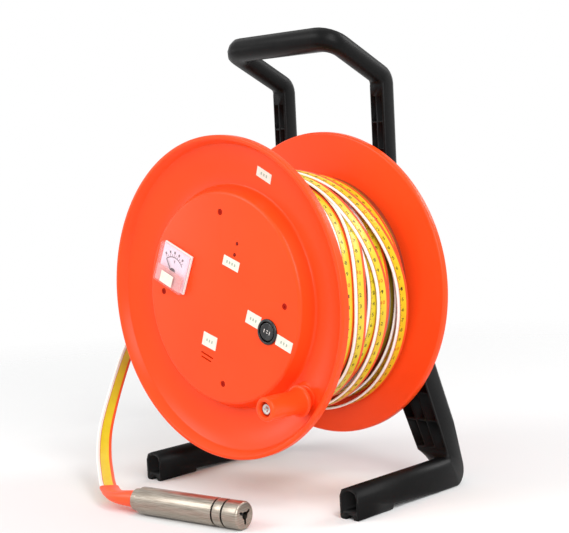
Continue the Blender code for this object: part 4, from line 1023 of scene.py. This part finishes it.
def makeProbe(s):
    radius, gap = s["radius"], s["gap"]
    collarEdge = s["collarEdge"]
    tube = [(0, gap)] + arc(s["collarRadius"] - collarEdge, gap + collarEdge, collarEdge, -90, 0, 4)
    tube += [(s["collarRadius"], s["collar"])]
    tube += barProfile(radius, s["collar"], s["tubeEnd"], s["edge"])[1:]
    made = [probePiece("probeTube", tube, probeFinish, "probe_tube", "probe_steel")]
    inner = radius - s["sealInset"]
    band = s["seal"] / 2

    def seal(name, node, front):
        profile = barProfile(inner, front, front + s["seal"], band)
        return probePiece(name, profile, rubberFinish, node, "rubber", steps=sides["bore"])

    start = s["tubeEnd"] + gap
    made.append(seal("probeSealRear", "probe_seal_rear", start))
    start += s["seal"] + gap
    end = start + s["ring"]
    ring = barProfile(radius, start, end, s["edge"])
    made.append(probePiece("probeRing", ring, probeFinish, "probe_ring", "probe_steel"))
    made.append(seal("probeSealFront", "probe_seal_front", end + gap))
    start = end + 2 * gap + s["seal"]
    floor = s["length"] - s["slotDepth"]
    tip = [(0, start)] + arc(radius - s["edge"], start + s["edge"], s["edge"], -90, 0, 3)
    tip += arc(radius - s["chamfer"], s["length"] - s["chamfer"], s["chamfer"], 0, 90, 6)
    tip += [(s["bore"], s["length"]), (s["bore"], floor), (0, floor)]
    low = (-s["slotWidth"] / 2, floor + s["slotLift"], s["bore"] / 2)
    high = (s["slotWidth"] / 2, s["length"] + cutClear, s["slotReach"])
    slot = block(low, high, s["slotRound"])
    slotTurns = [s["slotTurn"] + 360 * k / s["slots"] for k in range(s["slots"])]
    slots = joined(*[moved(slot, turn=turn) for turn in slotTurns])
    made.append(probePiece("probeTip", tip, probeFinish, "probe_tip", "probe_steel", slots))
    paint(frame["nodes"]["probe_electrode"], rubberFinish)
    return made + [frame["nodes"]["probe_electrode"]]


# Pieces that keep the solids' own shape: welded copies, shaded smooth

copyWeld = 0.00001


def weldedCopy(name, node, material, body, smooth):
    made = linked(name, frame["nodes"][node].data.copy())
    settled(made.data, copyWeld)
    paint(made, material)
    return seated(made, body, [node], smooth)


# A bolt stands in the right upright's channel, with its shank in the channel's floor
frameBolt = {
    "x": 0.0625, "z": 0.1417, "floor": 0.1758, "neck": 0.1672, "front": 0.1642, "shank": 0.0024,
    "head": 0.0033, "edge": 0.0006,
}


def makeFrame(s):
    weldedCopy("carryingFrame", "frame", blackFinish, "frame", smooth=50)
    bolt = [(0, s["front"]), (s["head"] - s["edge"], s["front"]), (s["head"], s["front"] + s["edge"])]
    bolt += [(s["head"], s["neck"]), (s["shank"], s["neck"]), (s["shank"], s["floor"]), (0, s["floor"])]
    bolt = moved(lathe(bolt, sides["bolt"]), s["x"], 0, s["z"])
    piece("frameBolt", bolt, fastenerFinish, "frame", slot="steel")


grip = {
    "radius": 0.0108, "flare": 0.0016, "tip": 0.0024, "recess": 0.0068, "recessDepth": 0.007,
    "bore": 0.0033, "edge": 0.0006, "flange": 0.0016, "neckRound": 0.0028, "neckAside": 0.0022,
    "neckBack": 0.0072, "neckArc": (80, 175, 6), "mouthRound": 0.0008,
    "waist": ((0.0004, 0.014), (0.0001, 0.024)), "belly": ((0.0, 0.014), (0.0001, 0.006)),
}


def crankGrip(s):
    front, back = frontOf("crank_grip"), backOf("crank_grip")
    wide = s["radius"] + s["flare"]
    profile = [(s["bore"], back), (wide - s["edge"], back), (wide, back - s["edge"])]
    profile += [(wide, back - s["flange"])]
    neck = arc(wide + s["neckAside"], back - s["neckBack"], s["neckRound"], *s["neckArc"])
    profile += neck[1:]
    profile += [(s["radius"] - inset, back - ahead) for inset, ahead in s["waist"]]
    profile += [(s["radius"] - inset, front + behind) for inset, behind in s["belly"]]
    profile += arc(s["radius"] - s["tip"], front + s["tip"], s["tip"], 0, -90, 7)
    mouth = s["mouthRound"]
    profile += arc(s["recess"] + mouth, front + mouth, mouth, -90, -180, 3)
    floor = front + s["recessDepth"]
    profile += [(s["recess"], floor), (s["bore"], floor)]
    shape = moved(lathe(profile, sides["part"]), crankAt.x, 0, crankAt.z)
    piece("crankGrip", shape, orangeFinish, "crank_grip", ["crank_grip"], "orange_plastic", smooth=40)
    weldedCopy("crankSpindle", "crank_spindle", fastenerFinish, "reel", smooth=30)


# Labels: bare films that follow the flange's face, with faint strokes where their words would be

labels = {
    "labelLamp": {"x": 0.0154, "z": 0.0327, "turn": 21, "size": (0.0210, 0.0095), "strokes": 4},
    "labelSound": {"x": -0.0187, "z": -0.0406, "turn": 18, "size": (0.0185, 0.0130), "strokes": 3},
    "labelSwitchLeft": {"x": 0.0405, "z": -0.0177, "turn": 21, "size": (0.0180, 0.0120), "strokes": 3},
    "labelSwitchRight": {"x": 0.0772, "z": -0.0373, "turn": 22, "size": (0.0197, 0.0100), "strokes": 3},
    "labelRim": {"x": 0.0517, "z": 0.1116, "turn": 28, "size": (0.0189, 0.0096), "strokes": 3},
}
film = {
    "lift": 0.0004, "sink": 0.0004, "columns": 12, "strokeLift": 0.0001, "stroke": (0.0016, 0.0026),
    "pitch": 0.0034,
}


def filmOn(s, f, size, above, below, along=0.0):
    a, b = size[0] / 2, size[1] / 2
    c, d = math.cos(math.radians(s["turn"])), math.sin(math.radians(s["turn"]))
    rings = []
    for k in range(film["columns"] + 1):
        across = along - a + 2 * a * k / film["columns"]
        ring = []
        for height, lift in ((-b, -above), (b, -above), (b, below), (-b, below)):
            x, z = s["x"] + c * across + d * height, s["z"] - d * across + c * height
            ring.append((x, floorAt(f, math.hypot(x, z)) + lift, z))
        rings.append(ring)
    return loft(rings)


def makeLabels(settings, f):
    strokes = []
    for name, s in settings.items():
        plate = filmOn(s, f, s["size"], film["lift"], film["sink"])
        piece(name, plate, labelFinish, "reel", slot="white_plastic")
        for k in range(s["strokes"]):
            along = (k - (s["strokes"] - 1) / 2) * film["pitch"]
            above, below = film["lift"] + film["strokeLift"], -film["lift"] / 2
            strokes.append(filmOn(s, f, film["stroke"], above, below, along))
    piece("labelStrokes", joined(*strokes), labelInk, "reel", slot="white_plastic")


# Panel meter: a clear cover over a white dial, with a frosted band and a label at its foot

meter = {
    "x": -0.0599, "z": 0.0277, "turn": 23.7, "size": 0.0395, "wall": 0.0012, "round": 0.0009,
    "lipRound": 0.0005, "tint": fromScreen(255, 251, 253), "glow": fromScreen(250, 226, 228), "share": 0.07,
    "bandTop": -0.0024, "bandThick": 0.0006, "bandTint": fromScreen(255, 214, 206),
    "bandGlow": fromScreen(250, 206, 198), "bandShare": 0.5, "label": (0.0170, 0.0112),
    "labelAt": (-0.0010, -0.0117), "labelThick": 0.0004, "pin": 0.0008,
}
dial = {
    "paper": fromScreen(252, 246, 250), "shade": fromScreen(242, 230, 240), "ink": (0.03, 0.022, 0.03),
    "roughness": 0.5, "grain": (300, 2), "levels": (0.3, 0.8), "scale": 0.0150, "line": 0.00045,
    "half": 0.80, "tickPitch": 0.16, "tickWidth": 0.036, "tickEnd": 0.0176, "number": 0.0196,
    "numberReach": 0.0013, "numberPitch": 0.32, "numberWidth": 0.10, "hub": 0.0044, "hubFloor": 0.0018,
    "unitAt": 0.0112, "unit": (0.0005, 0.0014),
}
acrylic = {
    "index": 1.49, "fine": (500, 2), "levels": (0.3, 0.7), "roughness": 0.05, "spread": 0.05,
    "shareSpread": 0.02,
}


def clearAcrylic(name, s, tint, glow, share):
    look = Look(name, IOR=s["index"])
    see = look.add("ShaderNodeBsdfTransparent", {}, (tint,), "BSDF")
    fine = look.noise(*s["fine"])
    colour = look.mix(fine.ramp(*s["levels"]), glow, tint)
    look.finish(Base_Color=colour, Roughness=s["roughness"] + fine * s["spread"])
    return look.mixed(share + fine * s["shareSpread"], see, look.solid)


# The dial's arc, ticks, numbers' places, unit mark and dark hub, measured from the needle's pivot
def dialFinish(name, s, turn):
    look = Look(name, Roughness=s["roughness"])
    pivot = jointAt["needle_swing"]
    c, d = math.cos(math.radians(turn)), math.sin(math.radians(turn))
    here = look.add("ShaderNodeSeparateXYZ", {}, (look.add("ShaderNodeTexCoord", output="Object"),))
    dx = here - pivot.x
    dz = here.output("Z") - pivot.z
    a = dx * c - dz * d
    b = dx * d + dz * c
    reach = (a * a + b * b) ** 0.5
    angle = look.add("ShaderNodeMath", {"operation": "ARCTAN2"}, (a, b))
    inScale = abs(angle) < s["half"]
    line = (abs(reach - s["scale"]) < s["line"]) * inScale
    ticks = ((angle + s["half"]) % s["tickPitch"] < s["tickWidth"]) * inScale
    ticks = ticks * (reach > s["scale"]) * (reach < s["tickEnd"])
    numbers = ((angle + s["half"]) % s["numberPitch"] < s["numberWidth"]) * inScale
    numbers = numbers * (abs(reach - s["number"]) < s["numberReach"])
    unit = (abs(a) < s["unit"][0]) * (abs(b - s["unitAt"]) < s["unit"][1])
    paper = look.mix(look.noise(*s["grain"]).ramp(*s["levels"]), s["shade"], s["paper"])
    colour = look.mix((line + ticks + numbers + unit).ramp(0, 1), paper, s["ink"])
    hub = (reach < s["hub"]) * (b > s["hubFloor"])
    return look.finish(Base_Color=look.mix(hub, colour, s["ink"]))


def makeMeter(s):
    at = (s["x"], 0, s["z"])
    half, wall = s["size"] / 2, s["wall"]
    front, back = frontOf("meter_cover"), backOf("meter_cover")
    shell = block((-half, front, -half), (half, back, half), s["round"])
    inner = half - wall
    low, high = (-inner, front + wall, -inner), (inner, back + cutClear, inner)
    hollow = block(low, high, s["lipRound"], segments=2)
    clear = clearAcrylic("clearAcrylic", acrylic, s["tint"], s["glow"], s["share"])
    shell = moved(shell, *at, s["turn"])
    hollow = moved(hollow, *at, s["turn"])
    piece("meterCover", shell, clear, "reel", ["meter_cover"], "clear_plastic", smooth=30, cut=hollow)
    low, high = frontOf("meter_dial"), backOf("meter_dial")
    face = inner - wall / 4
    plate = moved(block((-face, low, -face), (face, high, face)), *at, s["turn"])
    pivot = jointAt["needle_swing"] - inReel(0, 0, 0)
    pin = plug(s["pin"], low - wall, high + wall, sides["pin"])
    pin = moved(pin, pivot.x, 0, pivot.z)
    paper = dialFinish("meterDial", dial, s["turn"])
    piece("meterDial", plate, paper, "reel", ["meter_dial"], "white_plastic", cut=pin)
    paint(frame["nodes"]["meter_base"], whiteFinish)
    paint(frame["nodes"]["meter_needle"], needleFinish)
    thick = s["bandThick"]
    behind = front + wall + thick / 3
    low, high = (-face, behind, -face), (face, behind + thick, s["bandTop"])
    band = block(low, high, thick / 4, segments=1)
    frosted = clearAcrylic("frostedBand", acrylic, s["bandTint"], s["bandGlow"], s["bandShare"])
    piece("meterBand", moved(band, *at, s["turn"]), frosted, "reel", slot="clear_plastic")
    a, b = s["label"][0] / 2, s["label"][1] / 2
    x, z = s["labelAt"]
    thick = s["labelThick"]
    low, high = (x - a, front - thick, z - b), (x + a, front + thick / 2, z + b)
    label = block(low, high, thick / 4, segments=1)
    piece("meterLabel", moved(label, *at, s["turn"]), labelFinish, "reel", slot="white_plastic")


# Round rocker switch, with its plain marks

switch = {
    "x": switchAt[0], "z": switchAt[1], "turn": 21, "bezel": 0.0117, "well": 0.0094, "rocker": 0.0083,
    "body": 0.0103, "wellDepth": 0.0075, "bodyBack": 0.0150, "bezelRound": 0.0011, "wellRound": 0.0005,
    "rockerRound": 0.0009, "rockerDepth": 0.005, "dish": 0.0007, "dishReach": 1.4, "seat": 0.0003,
    "markAt": 0.0034, "bar": (0.00035, 0.0016), "ring": (0.0009, 0.0015), "markThick": 0.0003,
}


def makeSwitch(s):
    front = frontOf("switch_housing")
    back = flange["discDepth"] - s["seat"]
    floor = front + s["wellDepth"]
    profile = [(0, floor), (s["well"], floor)]
    profile += arc(s["well"] + s["wellRound"], front + s["wellRound"], s["wellRound"], 180, 270, 3)
    profile += arc(s["bezel"] - s["bezelRound"], front + s["bezelRound"], s["bezelRound"], -90, 0, 5)
    profile += [(s["bezel"], back), (s["body"], back), (s["body"], s["bodyBack"]), (0, s["bodyBack"])]
    housing = moved(lathe(profile, sides["part"]), s["x"], 0, s["z"])
    piece("switchHousing", housing, switchFinish, "reel", ["switch_housing"], "black_plastic", smooth=35)
    top = frontOf("switch_rocker")
    radius, edge = s["rocker"], s["rockerRound"]

    def dished(x):
        return s["dish"] * (1 - min(1.0, abs(x) / radius * s["dishReach"]))

    crown = [(0, top), (radius / 4, top), (radius / 2, top), (radius * 3 / 4, top)]
    crown += arc(radius - edge, top + edge, edge, -90, 0, 4)
    crown += [(radius, top + s["rockerDepth"]), (0, top + s["rockerDepth"])]
    points, faces = lathe(crown, sides["rocker"])
    points = [(x, y + dished(x) * (y < top + edge), z) for x, y, z in points]
    rocker = moved((points, faces), s["x"], 0, s["z"], s["turn"])
    nodes = ["switch_rocker"]
    piece("switchRocker", rocker, switchFinish, "switch_rocker", nodes, "black_plastic", smooth=35)
    thick = s["markThick"]
    front = -thick / 3
    bar = block((-s["bar"][0], front, -s["bar"][1]), (s["bar"][0], thick, s["bar"][1]))
    small, large = s["ring"]
    ring = lathe([(small, front), (large, front), (large, thick), (small, thick)], sides["screw"])
    marks = []
    for x, shape in ((-s["markAt"], bar), (0.0, ring), (s["markAt"], bar)):
        marks.append(moved(shape, x, top + dished(x), 0))
    marks = moved(joined(*marks), s["x"], 0, s["z"], s["turn"])
    piece("switchMarks", marks, whiteFinish, "switch_rocker", slot="white_plastic")


# Pieces that show little or nothing, painted as they are

def smallPieces():
    plain = ("axle", "axle_nut", "axle_washer", "retaining_clip", "crank_washer", "crank_nut")
    for node in frame["nodes"]:
        if node in plain or node.startswith("back_flange_screw"):
            paint(frame["nodes"][node], fastenerFinish)
    finishes = {
        "drum_barrel": orangeFinish, "hub_bush_front": nylonFinish, "hub_bush_rear": nylonFinish,
        "hub_spacer": nylonFinish, "buzzer": blackFinish, "battery_holder": blackFinish,
        "circuit_board": boardFinish, "battery": batteryFinish, "indicator_lamp_upper": lampFinish,
        "indicator_lamp_lower": lampFinish,
    }
    for node, material in finishes.items():
        paint(frame["nodes"][node], material)


# A pale floor that keeps the shadow near the object and gives way to the white ground further out

floorSettings = {
    "reach": 6.0, "solid": 0.42, "gone": 1.25, "colour": (0.88, 0.88, 0.88), "speck": (0.86, 0.86, 0.86),
    "grain": (3, 2), "roughness": 0.9,
}


def makeFloor(s):
    look = Look("paleFloor", Roughness=s["roughness"])
    here = look.add("ShaderNodeTexCoord", output="Object")
    far = look.add("ShaderNodeVectorMath", {"operation": "LENGTH"}, (here,), "Value")
    look.finish(Base_Color=look.mix(look.noise(*s["grain"]), s["speck"], s["colour"]))
    clear = look.add("ShaderNodeBsdfTransparent", {}, (), "BSDF")
    look.mixed(far.ramp(s["solid"], s["gone"]), look.solid, clear)
    mesh = bpy.data.meshes.new("floor")
    reach = s["reach"]
    corners = [(-reach, -reach, 0), (reach, -reach, 0), (reach, reach, 0), (-reach, reach, 0)]
    mesh.from_pydata(corners, [], [(0, 1, 2, 3)])
    floor = linked("floor", mesh)
    paint(floor, look.material)


# White where it is seen straight on, in a gloss or through the clear cover, and soft light elsewhere
def makeWorld(strength=0.60):
    world = bpy.data.worlds.new("studio")
    scene.world = world
    world.use_nodes = True
    sky = Graph()
    sky.tree = world.node_tree
    seen = sky.add("ShaderNodeLightPath", output="Is Camera Ray")
    seen = seen + seen.output("Is Transmission Ray") + seen.output("Is Glossy Ray")
    level = sky.add("ShaderNodeMapRange", {"clamp": True}, {0: seen, 3: strength, 4: 1.0})
    back = sky.tree.nodes["Background"]
    sky.fill(back.inputs["Strength"], level)
    back.inputs["Color"].default_value = (1, 1, 1, 1)


print("stage: camera, lamps and floor")
makeCamera(cameraSettings)
makeLamps(lampSettings)
makeFloor(floorSettings)
makeWorld()
print("stage: free tape and probe")
sweep = tapeTree()
tape, bootPiece, tapeLine, tapeLength = freeTape(boot, sweep)
probePieces = makeProbe(probe)
print("stage: reel")
frontFlange(flange, screwRing, soundSlots)
discScrews(screwRing, flange)
backFlange(backPlate, flange)
woundTape(roll, sweep)
crankGrip(grip)
print("stage: instruments")
makeLabels(labels, flange)
makeMeter(meter)
makeSwitch(switch)
smallPieces()
print("stage: frame")
makeFrame(frameBolt)

scene.view_settings.view_transform = "Standard"
